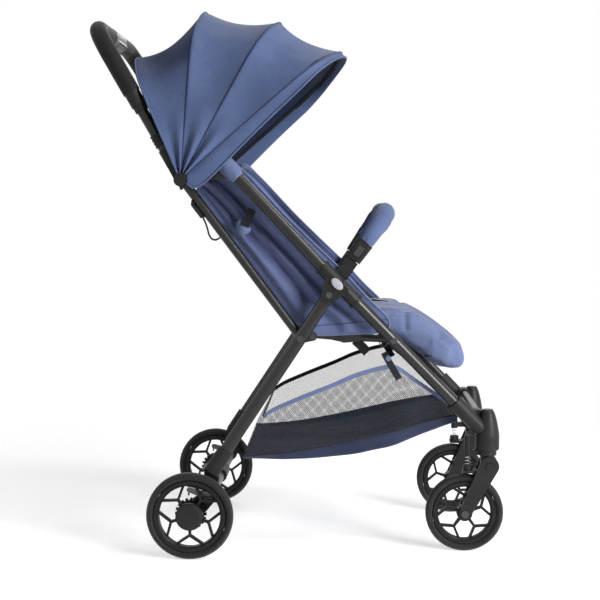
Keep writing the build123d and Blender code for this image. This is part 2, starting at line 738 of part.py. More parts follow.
export_step(brake_pedal.part, "parts/brake_pedal.step")

# ---------------------------------------------------------------- back tubes, catches and fold cables

eye_radius = 12.5
eye_in = back_tube_out - back_tube_radius - 0.4
eye_out = back_tube_out + back_tube_radius + 0.4
back_length = span(handle_pivot, back_foot)

with BuildPart() as back_tubes:
    bar(out(along(handle_pivot, back_foot, 6), back_tube_out), out(along(back_foot, handle_pivot, 5), back_tube_out), back_tube_radius)
    bore_start = out(along(handle_pivot, back_foot, 20), back_tube_out)
    bore_end = out(along(back_foot, handle_pivot, 18), back_tube_out)
    bar(bore_start, bore_end, back_tube_radius - tube_wall, Mode.SUBTRACT)
    disc(handle_pivot, eye_radius, eye_in, eye_out)
    disc(back_foot, eye_radius - 2, eye_in, eye_out)
    disc(handle_pivot, pin_radius + running_gap, eye_in - 1, eye_out + 1, Mode.SUBTRACT)
    disc(back_foot, pin_radius + running_gap, eye_in - 1, eye_out + 1, Mode.SUBTRACT)
    mirror(about=Plane.XZ)
back_tubes.part.label = "back_tubes"
export_step(back_tubes.part, "parts/back_tubes.step")


def behind_back(distance, aside):
    """Point this far down the back tube from the handle pivot, and this far behind its axis."""
    return along(handle_pivot, back_foot, distance, aside)


catch_start = 40.0
catch_end = 80.0
catch_floor = back_tube_radius + fit_gap
catch_back = back_tube_radius + 7.0
catch_travel = 4.0


def catch_box(start, end, low, high, half, mode=Mode.ADD):
    """Block behind the back tube, between two distances down it and two heights off its axis."""
    corners = [behind_back(start, low), behind_back(start, high), behind_back(end, high), behind_back(end, low)]
    plate(corners, back_tube_out - half, back_tube_out + half, mode=mode)


with BuildPart() as catch_housings:
    outline = [behind_back(catch_start, catch_floor), behind_back(catch_start + 7, catch_back)]
    outline += [behind_back(catch_end - 3, catch_back), behind_back(catch_end, catch_back - 3), behind_back(catch_end, catch_floor)]
    plate(outline, back_tube_out - 7.5, back_tube_out + 7.5)
    catch_box(catch_start + 8, catch_end - 3, catch_floor - 1, catch_back - 2, 5, Mode.SUBTRACT)
    mirror(about=Plane.XZ)
catch_housings.part.label = "catch_housings"
export_step(catch_housings.part, "parts/catch_housings.step")

with BuildPart() as fold_catches:
    catch_box(catch_start + 9 + catch_travel, catch_end - 4, catch_floor, catch_back - 2 - fit_gap, 5 - fit_gap)
    mirror(about=Plane.XZ)
fold_catches.part.label = "fold_catches"
export_step(fold_catches.part, "parts/fold_catches.step")

# each cable leaves its catch housing, bows out behind the tube and dips back into it
cable_route = [(80.3, 12.4), (90, 14.0), (101, 18.0), (112, 22.6), (121, 23.4), (127, 18.6), (128.5, 9.2)]


def corner_radii(points):
    """Radius for each corner of a route, as large as its two runs allow."""
    radii = []
    for before, here, after in zip(points, points[1:], points[2:]):
        turn = (here - before).get_angle(after - here)
        shorter = min((here - before).length, (after - here).length)
        radii.append(0.45 * shorter / tan(radians(turn / 2)))
    return radii


with BuildPart() as fold_cables:
    cable_points = [out(behind_back(*place), back_tube_out) for place in cable_route]
    cable_radii = corner_radii(cable_points)
    with BuildLine() as cable_path:
        FilletPolyline(*cable_points, radius=cable_radii)
    with BuildSketch(Plane(origin=cable_path.line @ 0, z_dir=cable_path.line % 0)) as cable_section:
        Circle(cable_radius)
    sweep(cable_section.sketch, path=cable_path.line)
    mirror(about=Plane.XZ)
fold_cables.part.label = "fold_cables"
export_step(fold_cables.part, "parts/fold_cables.step")
cable_length = sum(edge.length for edge in cable_path.edges())
print("cable radii", [round(radius, 1) for radius in cable_radii], "length", round(cable_length, 1))

# ---------------------------------------------------------------- top links and seat rails

with BuildPart() as top_links:
    web([(handle_pivot, 10), (tube_top, link_end_radius)], link_in, link_out)
    disc(handle_pivot, pin_radius + running_gap, link_in - 1, link_out + 1, Mode.SUBTRACT)
    disc(tube_top, link_eye, link_in - 1, link_out + 1, Mode.SUBTRACT)
    mirror(about=Plane.XZ)
top_links.part.label = "top_links"
export_step(top_links.part, "parts/top_links.step")

rail_in = rail_out - rail_radius
rail_face = rail_out + rail_radius
knee_radius = 10.0
rail_start = knee_radius + 4.5  # round part of each rail, from the knee
rail_drop = 33.5  # degrees that the front rails turn down as the frame folds

with BuildPart() as seat_rail_fronts:
    bar(out(along(rail_front, rail_knee, 4), rail_out), out(along(rail_knee, rail_front, rail_start), rail_out), rail_radius)
    disc(rail_front, 9, rail_in, rail_face)
    web([(rail_knee, knee_radius), (along(rail_knee, rail_front, 26), rail_radius)], rail_out + layer_gap, rail_face)
    disc(rail_front, pin_radius + running_gap, rail_in - 1, rail_face + 1, Mode.SUBTRACT)
    disc(rail_knee, pin_radius - 1, rail_in, rail_face + 1.5)
    disc(rail_knee, pin_radius + 1, rail_face, rail_face + 1.5)
    mirror(about=Plane.XZ)
seat_rail_fronts.part.label = "seat_rail_fronts"
export_step(seat_rail_fronts.part, "parts/seat_rail_fronts.step")

with BuildPart() as seat_rail_rears:
    bar(out(along(rail_rear, rail_knee, 4), rail_out), out(along(rail_knee, rail_rear, rail_start), rail_out), rail_radius)
    disc(rail_rear, 9, rail_in, rail_face)
    web([(rail_knee, knee_radius), (along(rail_knee, rail_rear, 24), rail_radius)], rail_in, rail_out)
    disc(rail_knee, pin_radius - 1 + running_gap, rail_in - 2, rail_out + 1, Mode.SUBTRACT)
    mirror(about=Plane.XZ)
seat_rail_rears.part.label = "seat_rail_rears"
export_step(seat_rail_rears.part, "parts/seat_rail_rears.step")

# ---------------------------------------------------------------- pins and rivets


def rivet(point, inner, outer, radius=pin_radius):
    """Round pin across the stroller with a low head outside."""
    disc(point, radius, inner, outer + 0.5)
    disc(point, radius + 2, outer + fit_gap, outer + 1.8)


with BuildPart() as frame_rivets:
    rivet(leg_pivot, cheek_in - cheek_thickness - 0.5, cheek_out + cheek_thickness)
    rivet(tube_top, link_in - 9, frame_out + front_tube_radius, pin_radius - 1)
    rivet(rail_front, rail_in, leg_out(rail_front) + front_leg_radius + 1.2)
    mirror(about=Plane.XZ)
frame_rivets.part.label = "frame_rivets"
export_step(frame_rivets.part, "parts/frame_rivets.step")

with BuildPart() as rear_fasteners:
    rivet(back_foot, eye_in - 0.5, leg_face)
    rivet(rail_rear, rail_face + 1.2, leg_in + 2)
    # wheel axle bolts with their retaining heads under the hub caps
    disc(rear_axle, axle_radius, bracket_in - 4, cap_seat + 2)
    disc(rear_axle, axle_radius + 3, cap_seat, cap_seat + 3)
    mirror(about=Plane.XZ)
rear_fasteners.part.label = "rear_fasteners"
export_step(rear_fasteners.part, "parts/rear_fasteners.step")

# ---------------------------------------------------------------- handle

grip_gap = 0.4
tube_start = 40.0


def handle_path(start, out_distance):
    """Route of the U-shaped handle from this far up one arm to the same place on the other."""
    foot = along(handle_pivot, handle_bar, start)
    corners = [out(foot, out_distance), out(handle_bar, out_distance), out(handle_bar, -out_distance), out(foot, -out_distance)]
    with BuildLine() as route:
        FilletPolyline(*corners, radius=handle_corner)
    return route.line


def ring_sweep(route, outer, inner):
    """Sweep a ring section along a route."""
    with BuildSketch(Plane(origin=route @ 0, z_dir=route % 0)) as section:
        Circle(outer)
        Circle(inner, mode=Mode.SUBTRACT)
    sweep(section.sketch, path=route)


with BuildPart() as handle_tube:
    ring_sweep(handle_path(tube_start, handle_out), handle_tube_radius, handle_tube_radius - tube_wall)
handle_tube.part.label = "handle_tube"
export_step(handle_tube.part, "parts/handle_tube.step")

housing_half = 52.0
bar_centre = Vector(handle_bar[0], 0, handle_bar[1])
inward = way(handle_bar, handle_pivot)

with BuildPart() as handle_grip:
    ring_sweep(handle_path(grip_start, handle_out), grip_radius, handle_tube_radius + grip_gap)
    # gap in the middle of the foam for the button housing
    disc(handle_bar, grip_radius + 5, -housing_half - fit_gap, housing_half + fit_gap, Mode.SUBTRACT)
handle_grip.part.label = "handle_grip"
export_step(handle_grip.part, "parts/handle_grip.step")

knuckle_start = 33.0
knuckle_end = 66.0
knuckle_in = eye_out + 0.9
knuckle_out = link_in - 0.8
bow_stack_out = bow_out + 3 * (bow_thickness + 1)
collar_start = grip_start - 40

with BuildPart() as handle_fittings:

    def up_handle(distance):
        return out(along(handle_pivot, handle_bar, distance), handle_out)

    # knuckle: eye plate, tube socket and the long pivot pin with its outer cap
    web([(handle_pivot, 12), (along(handle_pivot, handle_bar, 44), 11)], knuckle_in, knuckle_out)
    bar(up_handle(knuckle_start), up_handle(knuckle_end), handle_tube_radius + 1.9)
    disc(handle_pivot, pin_radius, eye_in - 0.5, bow_stack_out + 1)
    disc(handle_pivot, 12.5, bow_stack_out + 0.5, bow_stack_out + 4)
    web([(handle_pivot, 6), (along(handle_pivot, back_foot, 14, 8), 3)], bow_stack_out + 0.5, bow_stack_out + 3)
    bar(up_handle(tube_start - fit_gap), up_handle(knuckle_end + 1), handle_tube_radius + fit_gap, Mode.SUBTRACT)
    # ribbed canopy clamp
    for rib in range(4):
        bar(up_handle(74 + rib * 7), up_handle(77 + rib * 7), handle_tube_radius + 2.3)
    bar(up_handle(74), up_handle(98), handle_tube_radius + 1.5)
    bar(up_handle(73), up_handle(99), handle_tube_radius + fit_gap, Mode.SUBTRACT)
    # stepped collar below the grip
    bar(up_handle(collar_start), up_handle(grip_start - 0.5), handle_tube_radius + 2.6)
    bar(up_handle(collar_start + 12), up_handle(grip_start - 0.5), handle_tube_radius + 4.4)
    bar(up_handle(collar_start - 1), up_handle(grip_start), handle_tube_radius + fit_gap, Mode.SUBTRACT)
    mirror(about=Plane.XZ)
handle_fittings.part.label = "handle_fittings"
export_step(handle_fittings.part, "parts/handle_fittings.step")

button_half = 22.0
button_floor = handle_tube_radius + 3.0
button_face = grip_radius + 2.0
bar_plane = Plane(origin=bar_centre, x_dir=(0, 1, 0), z_dir=(inward[0], 0, inward[1]))
slider_centre = 35.0

with BuildPart() as button_housing:
    disc(handle_bar, grip_radius + 0.6, -housing_half, housing_half)
    with BuildSketch(bar_plane) as pod:
        RectangleRounded(2 * housing_half, 26, 10)
    extrude(pod.sketch, amount=button_face)
    disc(handle_bar, handle_tube_radius + fit_gap, -housing_half - 1, housing_half + 1, Mode.SUBTRACT)
    with BuildSketch(bar_plane.offset(button_floor)) as button_pocket:
        RectangleRounded(2 * button_half, 17, 6)
        with Locations((slider_centre + 3, 0)):
            RectangleRounded(18, 11, 3)
    extrude(button_pocket.sketch, amount=20, mode=Mode.SUBTRACT)
button_housing.part.label = "fold_button_housing"
export_step(button_housing.part, "parts/fold_button_housing.step")

with BuildPart() as fold_button:
    with BuildSketch(bar_plane.offset(button_floor + button_travel + fit_gap)) as button_outline:
        RectangleRounded(2 * (button_half - fit_gap), 17 - 2 * fit_gap, 5.7)
    extrude(button_outline.sketch, amount=button_face - button_floor - button_travel + 2.5)
fold_button.part.label = "fold_button"
export_step(fold_button.part, "parts/fold_button.step")

with BuildPart() as safety_slider:
    with BuildSketch(bar_plane.offset(button_floor + fit_gap)) as slider_outline:
        with Locations((slider_centre, 0)):
            RectangleRounded(18 - slider_travel - 2 * fit_gap - 1, 11 - 2 * fit_gap, 2.5)
    extrude(slider_outline.sketch, amount=button_face - button_floor + 1.2)
safety_slider.part.label = "safety_slider"
export_step(safety_slider.part, "parts/safety_slider.step")

# ---------------------------------------------------------------- canopy


def bow_plane(angle):
    """Plane of a canopy bow: its second axis runs out from the handle pivot."""
    a = radians(angle)
    return Plane(origin=(handle_pivot[0], 0, handle_pivot[1]), x_dir=(0, -1, 0), z_dir=(-sin(a), 0, cos(a)))


def arch(plane, half_width, reach, start=0.0):
    """Arch shape: straight sides, round shoulders and a gently crowned top."""
    middle = reach - crown_radius
    shoulder = middle + (crown_radius**2 - half_width**2) ** 0.5
    with BuildSketch(plane) as shape:
        with BuildLine():
            Polyline((half_width, shoulder), (half_width, start), (-half_width, start), (-half_width, shoulder))
            ThreePointArc((-half_width, shoulder), (0, reach), (half_width, shoulder))
        make_face()
        fillet(shape.vertices().group_by(Axis.Y)[-1], bow_corner)
    return shape.sketch


for number, (angle, reach) in enumerate(zip(bow_angles, bow_reaches)):
    layer_in = bow_out + number * (bow_thickness + 1)
    layer_out = layer_in + bow_thickness
    with BuildPart() as bow:
        plane = bow_plane(angle)
        outer_arch = arch(plane, layer_out, reach)
        inner_arch = arch(plane, layer_in, reach - bow_thickness)
        extrude(outer_arch, amount=bow_width / 2, both=True)
        extrude(inner_arch, amount=bow_width, both=True, mode=Mode.SUBTRACT)
        for side in (-1, 1):
            disc(handle_pivot, 9, side * layer_in, side * layer_out)
        disc(handle_pivot, pin_radius + running_gap, -layer_out - 1, layer_out + 1, Mode.SUBTRACT)
    name = f"canopy_bow_{number + 1}"
    bow.part.label = name
    export_step(bow.part, f"parts/{name}.step")

cover_gap = 1.0 + bow_thickness
cover_lift = 4.0  # inside of the cover above the bows' tops, which it crosses at an angle
cover_halves = [bow_out + number * (bow_thickness + 1) + cover_gap for number in (0, 0, 1, 2)]
cover_stations = list(zip([canopy_rear_angle] + bow_angles, [canopy_rear_reach] + bow_reaches, cover_halves))


def halfway(near, far, depth):
    """Cover station halfway between two bows, where the cloth is drawn in by this depth."""
    angle = (near[0] + far[0]) / 2
    chord = 2 * near[1] * far[1] * cos(radians(near[0] - far[0]) / 2) / (near[1] + far[1])
    return (angle, chord - depth, (near[2] + far[2]) / 2)


with BuildPart() as cover:
    for wall, mode in ((cover_thickness, Mode.ADD), (0, Mode.SUBTRACT)):
        for near, far, depth in zip(cover_stations, cover_stations[1:], cover_scallops):
            arches = []
            for angle, reach, half in (near, halfway(near, far, depth), far):
                arches.append(arch(bow_plane(angle), half + wall, reach + cover_lift + wall, cover_bottom))
            loft(arches, ruled=True, mode=mode)
cover.part.label = "canopy_cover"
export_step(cover.part, "parts/canopy_cover.step")

# ---------------------------------------------------------------- seat

cushion_floor = rail_front[1] - 2
cushion_rear_top = 463.0
cushion_back = recline_pivot[0] + 34
cushion_front = seat_front[0] + 2 - fit_gap

with BuildPart() as seat_cushion:
    cushion = [
        (cushion_back, cushion_floor),
        (cushion_back, cushion_rear_top),
        (cushion_front - 18, seat_front_height + 3),
        (cushion_front, seat_front_height - 12),
        (cushion_front, cushion_floor),
    ]
    plate(cushion, -seat_half_width, seat_half_width)
    fillet(seat_cushion.edges().filter_by(Axis.Z), 9)
seat_cushion.part.label = "seat_cushion"
export_step(seat_cushion.part, "parts/seat_cushion.step")

back_way = way(back_foot, handle_pivot)


def up_back(distance, ahead):
    """Point this far up the backrest from its hinge, and this far ahead of its rear face."""
    far = (recline_pivot[0] + back_way[0], recline_pivot[1] + back_way[1])
    return along(recline_pivot, far, distance, ahead)


with BuildPart() as backrest:
    slab = [up_back(6, 0), up_back(6, backrest_thickness), up_back(backrest_length, backrest_thickness - 6), up_back(backrest_length, 0)]
    plate(slab, -seat_half_width, seat_half_width)
    fillet(backrest.edges().filter_by(Axis.Y).group_by(Axis.Z)[-1], 5)
backrest.part.label = "backrest"
export_step(backrest.part, "parts/backrest.step")

wing_floor = rail_rear_height + knee_radius + 8

with BuildPart() as side_wings:
    wing = [
        up_back(8, 0),
        up_back(backrest_length, 0),
        along(tube_top, hub, 4, -wing_lap),
        along(hub, tube_top, 8, wing_lap),
        (cushion_front - 4, wing_floor),
        (recline_pivot[0] + 8, wing_floor),
    ]
    plate(wing, wing_out, wing_out + wing_thickness)
    # flap that carries the wing from the front tube
    flap = [along(tube_top, hub, 14), along(tube_top, hub, span(tube_top, hub) - 75)]
    strip(flap, wing_thickness, wing_out + 1, frame_out - front_tube_radius - fit_gap)
    mirror(about=Plane.XZ)
side_wings.part.label = "side_wings"
export_step(side_wings.part, "parts/side_wings.step")

with BuildPart() as calf_rest:
    calf = [
        (seat_front[0] + 2, seat_front[1]),
        (seat_front[0] + 40, seat_front[1] - 8),
        (seat_front[0] + 88, seat_front[1] - 42),
        (seat_front[0] + 118, seat_front[1] - 74),
        (seat_front[0] + 111, seat_front[1] - 112),
        (seat_front[0] + 90, seat_front[1] - 102),
        (seat_front[0] + 62, seat_front[1] - 62),
        (seat_front[0] + 26, seat_front[1] - 36),
        (seat_front[0] + 2, seat_front[1] - 32),
    ]
    plate(calf, -calf_half_width, calf_half_width)
calf_rest.part.label = "calf_rest"
export_step(calf_rest.part, "parts/calf_rest.step")

strap_out = 55.0
buckle_x = cushion_back + 62
cushion_slope = (seat_front_height + 3 - cushion_rear_top) / (cushion_front - 18 - cushion_back)


def above_cushion(x, height):
    """Point this far above the seat cushion's sloping top."""
    return (x, cushion_rear_top + cushion_slope * (x - cushion_back) + height)


with BuildPart() as harness_straps:
    lift = backrest_thickness + 1.2
    shoulder = [up_back(backrest_length - 50, lift - 4), up_back(70, lift), above_cushion(buckle_x - 26, 14), above_cushion(buckle_x - 9.5, 6)]
    strip(shoulder, webbing_thickness, strap_out - 40, strap_out - 40 + webbing_width)
    waist = [up_back(44, lift), above_cushion(buckle_x - 42, 1.6), above_cushion(buckle_x - 9.5, 1.2)]
    strip(waist, webbing_thickness, strap_out + webbing_width, strap_out + 2 * webbing_width)
    cross = [above_cushion(buckle_x - 9.5, 1.2), above_cushion(buckle_x - 9.5 - webbing_width, 1.2)]
    strip(cross, webbing_thickness, strap_out - 30, strap_out + webbing_width + 1)
    mirror(about=Plane.XZ)
    strip([above_cushion(buckle_x + 16.5, 1.2), above_cushion(buckle_x + 50, 1.2)], webbing_thickness, -webbing_width / 2, webbing_width / 2)
harness_straps.part.label = "harness_straps"
export_step(harness_straps.part, "parts/harness_straps.step")

with BuildPart() as harness_buckle:
    buckle = [above_cushion(buckle_x - 9, 0.3), above_cushion(buckle_x + 16, 0.3), above_cushion(buckle_x + 16, 13), above_cushion(buckle_x - 9, 13)]
    plate(buckle, -24, 24)
    fillet(harness_buckle.edges().filter_by(Plane.XZ).group_by(Axis.Z)[-1], 2)
harness_buckle.part.label = "harness_buckle"
export_step(harness_buckle.part, "parts/harness_buckle.step")

# ---------------------------------------------------------------- basket and its straps

basket_rear = spot(94, 188)
basket_top_rear = spot(140, 282)
basket_top_front = along(hub, leg_foot, 191.4, 29.6)
basket_nose_top = along(hub, leg_foot, 295.9, 16.6)
basket_nose = along(hub, leg_foot, 341.5, 38.5)
basket_low = spot(264, 184)

with BuildPart() as basket:
    basket_side = [basket_rear, basket_top_rear, basket_top_front, basket_nose_top, basket_nose, basket_low]
    plate(basket_side, -basket_half_width, basket_half_width)
    with BuildSketch(Plane.XY) as plan:
        with BuildLine():
            Polyline(
                (basket_rear[0] - 5, -basket_half_width),
                (basket_top_front[0], -basket_half_width),
                (basket_nose[0], -basket_front_half_width),
                (basket_nose[0], basket_front_half_width),
                (basket_top_front[0], basket_half_width),
                (basket_rear[0] - 5, basket_half_width),
                close=True,
            )
        make_face()
    extrude(plan.sketch, amount=basket_top_front[1] + 50, mode=Mode.INTERSECT)
    rim_middle = Vector((basket_top_rear[0] + basket_top_front[0]) / 2, 0, (basket_top_rear[1] + basket_top_front[1]) / 2)
    mouth = basket.faces().sort_by_distance(rim_middle)[0]
    offset(amount=-basket_wall, openings=mouth)
basket.part.label = "basket"
export_step(basket.part, "parts/basket.step")

with BuildPart() as seat_straps:
    # basket hanger below the rail's front end, cut clear of the rail as it folds down
    hanger_in = basket_half_width - basket_wall - fit_gap - webbing_thickness
    hanger_foot = (rail_front[0] - 5, basket_top_front[1] - 14)
    strip([rail_front, hanger_foot], 16, hanger_in, hanger_in + webbing_thickness)
    folded_knee = turned(rail_knee, rail_front, rail_drop)
    swept = [(rail_front, 9 + fit_gap), (folded_knee, rail_radius + fit_gap)]
    web(swept, hanger_in - 1, hanger_in + webbing_thickness + 1, Mode.SUBTRACT)
    # short loop under the seat
    loop_x = rail_knee[0] + 36
    strip([(loop_x, cushion_floor - 0.7), (loop_x - 2, cushion_floor - 46)], 18, seat_half_width - 8, seat_half_width - 8 + webbing_thickness)
    # strap from the front tube to the wing
    strap_low = along(tube_top, hub, 84, 42)
    strap_high = along(tube_top, hub, 76, 16)
    strip([strap_high, strap_low], 20, wing_out + wing_thickness + fit_gap, wing_out + wing_thickness + fit_gap + webbing_thickness)
    mirror(about=Plane.XZ)
seat_straps.part.label = "seat_straps"
export_step(seat_straps.part, "parts/seat_straps.step")

# ---------------------------------------------------------------- bumper bar

tongue_bottom = -socket_length / 2 + 6
cuff_start = socket_length / 2 + 1.5
cuff_end = cuff_start + cuff_length
button_pocket_depth = 5.3
bar_end = bumper_at(bumper_reach)

with BuildPart() as bumper_bar:
    bumper_slab(
        tongue_bottom, cuff_start + 2, tongue_width, bumper_out - tongue_thickness / 2, bumper_out + tongue_thickness / 2
    )
    cuff_plane = Plane(origin=out(bumper_at(cuff_start), bumper_out), x_dir=(0, 1, 0), z_dir=(bumper_step[0], 0, bumper_step[1]))
    with BuildSketch(cuff_plane) as cuff_foot:
        RectangleRounded(24, 30, 8)
    with BuildSketch(cuff_plane.offset(cuff_length)) as cuff_top:
        RectangleRounded(27, 34, 9)
    loft([cuff_foot.sketch, cuff_top.sketch])
    # pocket for the release button in the outer face
    bumper_slab(cuff_start + 9, cuff_start + 31, 13, bumper_out + 13.6 - button_pocket_depth, bumper_out + 20, Mode.SUBTRACT)
    mirror(about=Plane.XZ)
    with BuildLine() as core_route:
        FilletPolyline(
            out(bumper_at(cuff_end - 2), bumper_out),
            out(bar_end, bumper_out),
            out(bar_end, -bumper_out),
            out(bumper_at(cuff_end - 2), -bumper_out),
            radius=bumper_corner,
        )
    with BuildSketch(Plane(origin=core_route.line @ 0, z_dir=core_route.line % 0)) as core:
        Circle(8)
    sweep(core.sketch, path=core_route.line)
bumper_bar.part.label = "bumper_bar"
export_step(bumper_bar.part, "parts/bumper_bar.step")

with BuildPart() as bumper_pad:
    with BuildLine() as pad_route:
        FilletPolyline(
            out(bumper_at(cuff_end + fit_gap), bumper_out),
            out(bar_end, bumper_out),
            out(bar_end, -bumper_out),
            out(bumper_at(cuff_end + fit_gap), -bumper_out),
            radius=bumper_corner,
        )
    with BuildSketch(Plane(origin=pad_route.line @ 0, z_dir=pad_route.line % 0)) as pad_section:
        Circle(bumper_pad_radius)
        Circle(8 + fit_gap, mode=Mode.SUBTRACT)
    sweep(pad_section.sketch, path=pad_route.line)
bumper_pad.part.label = "bumper_pad"
export_step(bumper_pad.part, "parts/bumper_pad.step")

with BuildPart() as bumper_button:
    button_in = bumper_out + 13.6 - button_pocket_depth + 2.5
    bumper_slab(cuff_start + 9 + fit_gap, cuff_start + 31 - fit_gap, 13 - 2 * fit_gap, button_in, bumper_out + 13.8)
save_pair(bumper_button, "bumper_button")
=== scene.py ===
# %% [markdown]
# # A folding baby stroller
#
# The packed frame holds the tubes, wheels, hubs and joints, in metres: X is forward, Y is left
# and Z is up. This lesson dresses it. It gives every hard piece a material with real detail, and
# it models the soft goods as cloth: the canopy, seat, calf rest, basket and straps.

import json
from math import atan2, cos, pi, radians, sin, sqrt

import bpy
import numpy as np
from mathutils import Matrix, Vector, noise
from mathutils.bvhtree import BVHTree


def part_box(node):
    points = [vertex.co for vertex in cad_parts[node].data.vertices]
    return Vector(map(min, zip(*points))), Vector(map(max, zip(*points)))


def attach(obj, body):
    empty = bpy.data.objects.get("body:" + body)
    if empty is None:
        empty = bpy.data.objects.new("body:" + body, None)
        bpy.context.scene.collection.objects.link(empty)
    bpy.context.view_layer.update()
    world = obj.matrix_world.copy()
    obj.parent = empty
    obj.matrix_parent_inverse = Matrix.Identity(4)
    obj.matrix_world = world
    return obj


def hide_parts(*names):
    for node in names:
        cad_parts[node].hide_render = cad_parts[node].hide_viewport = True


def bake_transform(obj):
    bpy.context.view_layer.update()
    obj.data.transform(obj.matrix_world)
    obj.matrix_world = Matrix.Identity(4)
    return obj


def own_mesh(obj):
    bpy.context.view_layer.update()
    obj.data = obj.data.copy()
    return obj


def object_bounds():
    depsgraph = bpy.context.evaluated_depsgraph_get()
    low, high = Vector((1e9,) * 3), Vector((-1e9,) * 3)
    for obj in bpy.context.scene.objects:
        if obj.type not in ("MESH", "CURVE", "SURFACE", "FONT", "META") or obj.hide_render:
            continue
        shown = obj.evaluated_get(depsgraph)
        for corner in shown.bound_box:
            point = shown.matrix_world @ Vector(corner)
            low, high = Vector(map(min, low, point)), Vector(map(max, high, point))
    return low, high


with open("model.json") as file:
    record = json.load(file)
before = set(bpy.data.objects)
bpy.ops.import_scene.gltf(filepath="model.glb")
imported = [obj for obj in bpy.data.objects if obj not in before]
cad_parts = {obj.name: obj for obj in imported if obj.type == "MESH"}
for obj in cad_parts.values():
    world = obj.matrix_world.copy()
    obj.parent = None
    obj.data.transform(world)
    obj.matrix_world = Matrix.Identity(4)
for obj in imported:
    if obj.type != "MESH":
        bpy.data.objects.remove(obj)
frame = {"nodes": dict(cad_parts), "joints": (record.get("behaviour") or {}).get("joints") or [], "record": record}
cad_low, cad_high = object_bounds()
joints = {joint["name"]: joint for joint in frame["joints"]}
print("loaded", len(frame["nodes"]), "nodes, box", [round(v, 3) for v in cad_high - cad_low])

# %% [markdown]
# ## Places
#
# On the real stroller everything hangs from a few pins: the wheels' axles, the handle's pivot,
# the backrest's hinge. Their places could be typed in again, but the frame's joints already hold
# them, so the soft goods start from the joints. Other places are counted in millimetres from the
# rear axle and the floor, as a maker would read them off a side view.


# %% Key points of the side view
def side(joint):
    """Side-view point (x, z) of a joint."""
    x, _, z = joints[joint]["pos_m"]
    return np.array([x, z])


rear_axle = side("rear_spin_right")


def spot(forward, height):
    """Side-view point from millimetres ahead of the rear axle and above the floor."""
    return np.array([rear_axle[0] + forward / 1000, height / 1000])


def spots(*pairs):
    """Several side-view points."""
    return [spot(*pair) for pair in pairs]


print("rear axle", rear_axle.round(4), "and a place over it", spot(0, 500).round(4))

# %% [markdown]
# ## Shader maths
#
# A finish is a pattern: one noise plus another, times a number, led to a socket of the shader. It
# could be wired by hand in the shader editor, but written as Python it is shorter and can be read
# again. `Socket` wraps a node's output, so that an expression on sockets adds its Math nodes.


# %% A socket that does arithmetic
def maths(operation, swap=False):
    """Method that adds one Math node for a socket and any other value."""

    def method(self, *other):
        values = (*other, self) if swap else (self, *other)
        return self.tree.node("ShaderNodeMath", {"operation": operation}, *values)

    return method


class Socket:
    """A node's output that can be added, multiplied and so on."""

    def __init__(self, tree, output):
        self.tree = tree
        self.output = output

    __add__ = __radd__ = maths("ADD")
    __mul__ = __rmul__ = maths("MULTIPLY")
    __sub__, __rsub__ = maths("SUBTRACT"), maths("SUBTRACT", swap=True)
    __pow__, __rpow__ = maths("POWER"), maths("POWER", swap=True)
    sine, absolute = maths("SINE"), maths("ABSOLUTE")
    least, most = maths("MINIMUM"), maths("MAXIMUM")

    def ramp(self, low, high):
        """0 below low, 1 above high, smooth between."""
        limits = {"From Min": low, "From Max": high}
        settings = {"interpolation_type": "SMOOTHSTEP"}
        return self.tree.node("ShaderNodeMapRange", settings, Value=self, **limits)


print("sockets know", [name for name in vars(Socket) if not name.startswith("_")])

# %% [markdown]
# ## Materials
#
# Every node comes from the one method `Tree.node`: its settings are set first, because they
# decide which sockets the node has, and then its sockets are fed in order or by name. `Paint` is
# such a tree with the Principled shader in it. A number that is the same all over goes on the
# shader's own socket, and only what varies is linked.


# %% A node tree
class Tree:
    """A node tree: one method adds any node, and one feeds any socket."""

    def __init__(self, tree):
        self.tree = tree

    def node(self, kind, settings=None, *sockets, output=None, **named):
        """Add a node, set its properties, feed its sockets, and return one of its outputs."""
        made = self.tree.nodes.new(kind)
        for key, value in (settings or {}).items():
            setattr(made, key, value)
        for target, value in zip([i for i in made.inputs if i.enabled], sockets):
            self.feed(target, value)
        for name, value in named.items():
            self.feed(made.inputs[name], value)
        shown = [o for o in made.outputs if o.enabled]
        return Socket(self, made.outputs[output] if output else shown[0])

    def feed(self, target, value):
        """Link a socket to an input, or set a plain value on it."""
        if isinstance(value, Socket):
            self.tree.links.new(value.output, target)
        else:
            target.default_value = value


print("a tree knows", [name for name in vars(Tree) if not name.startswith("_")])


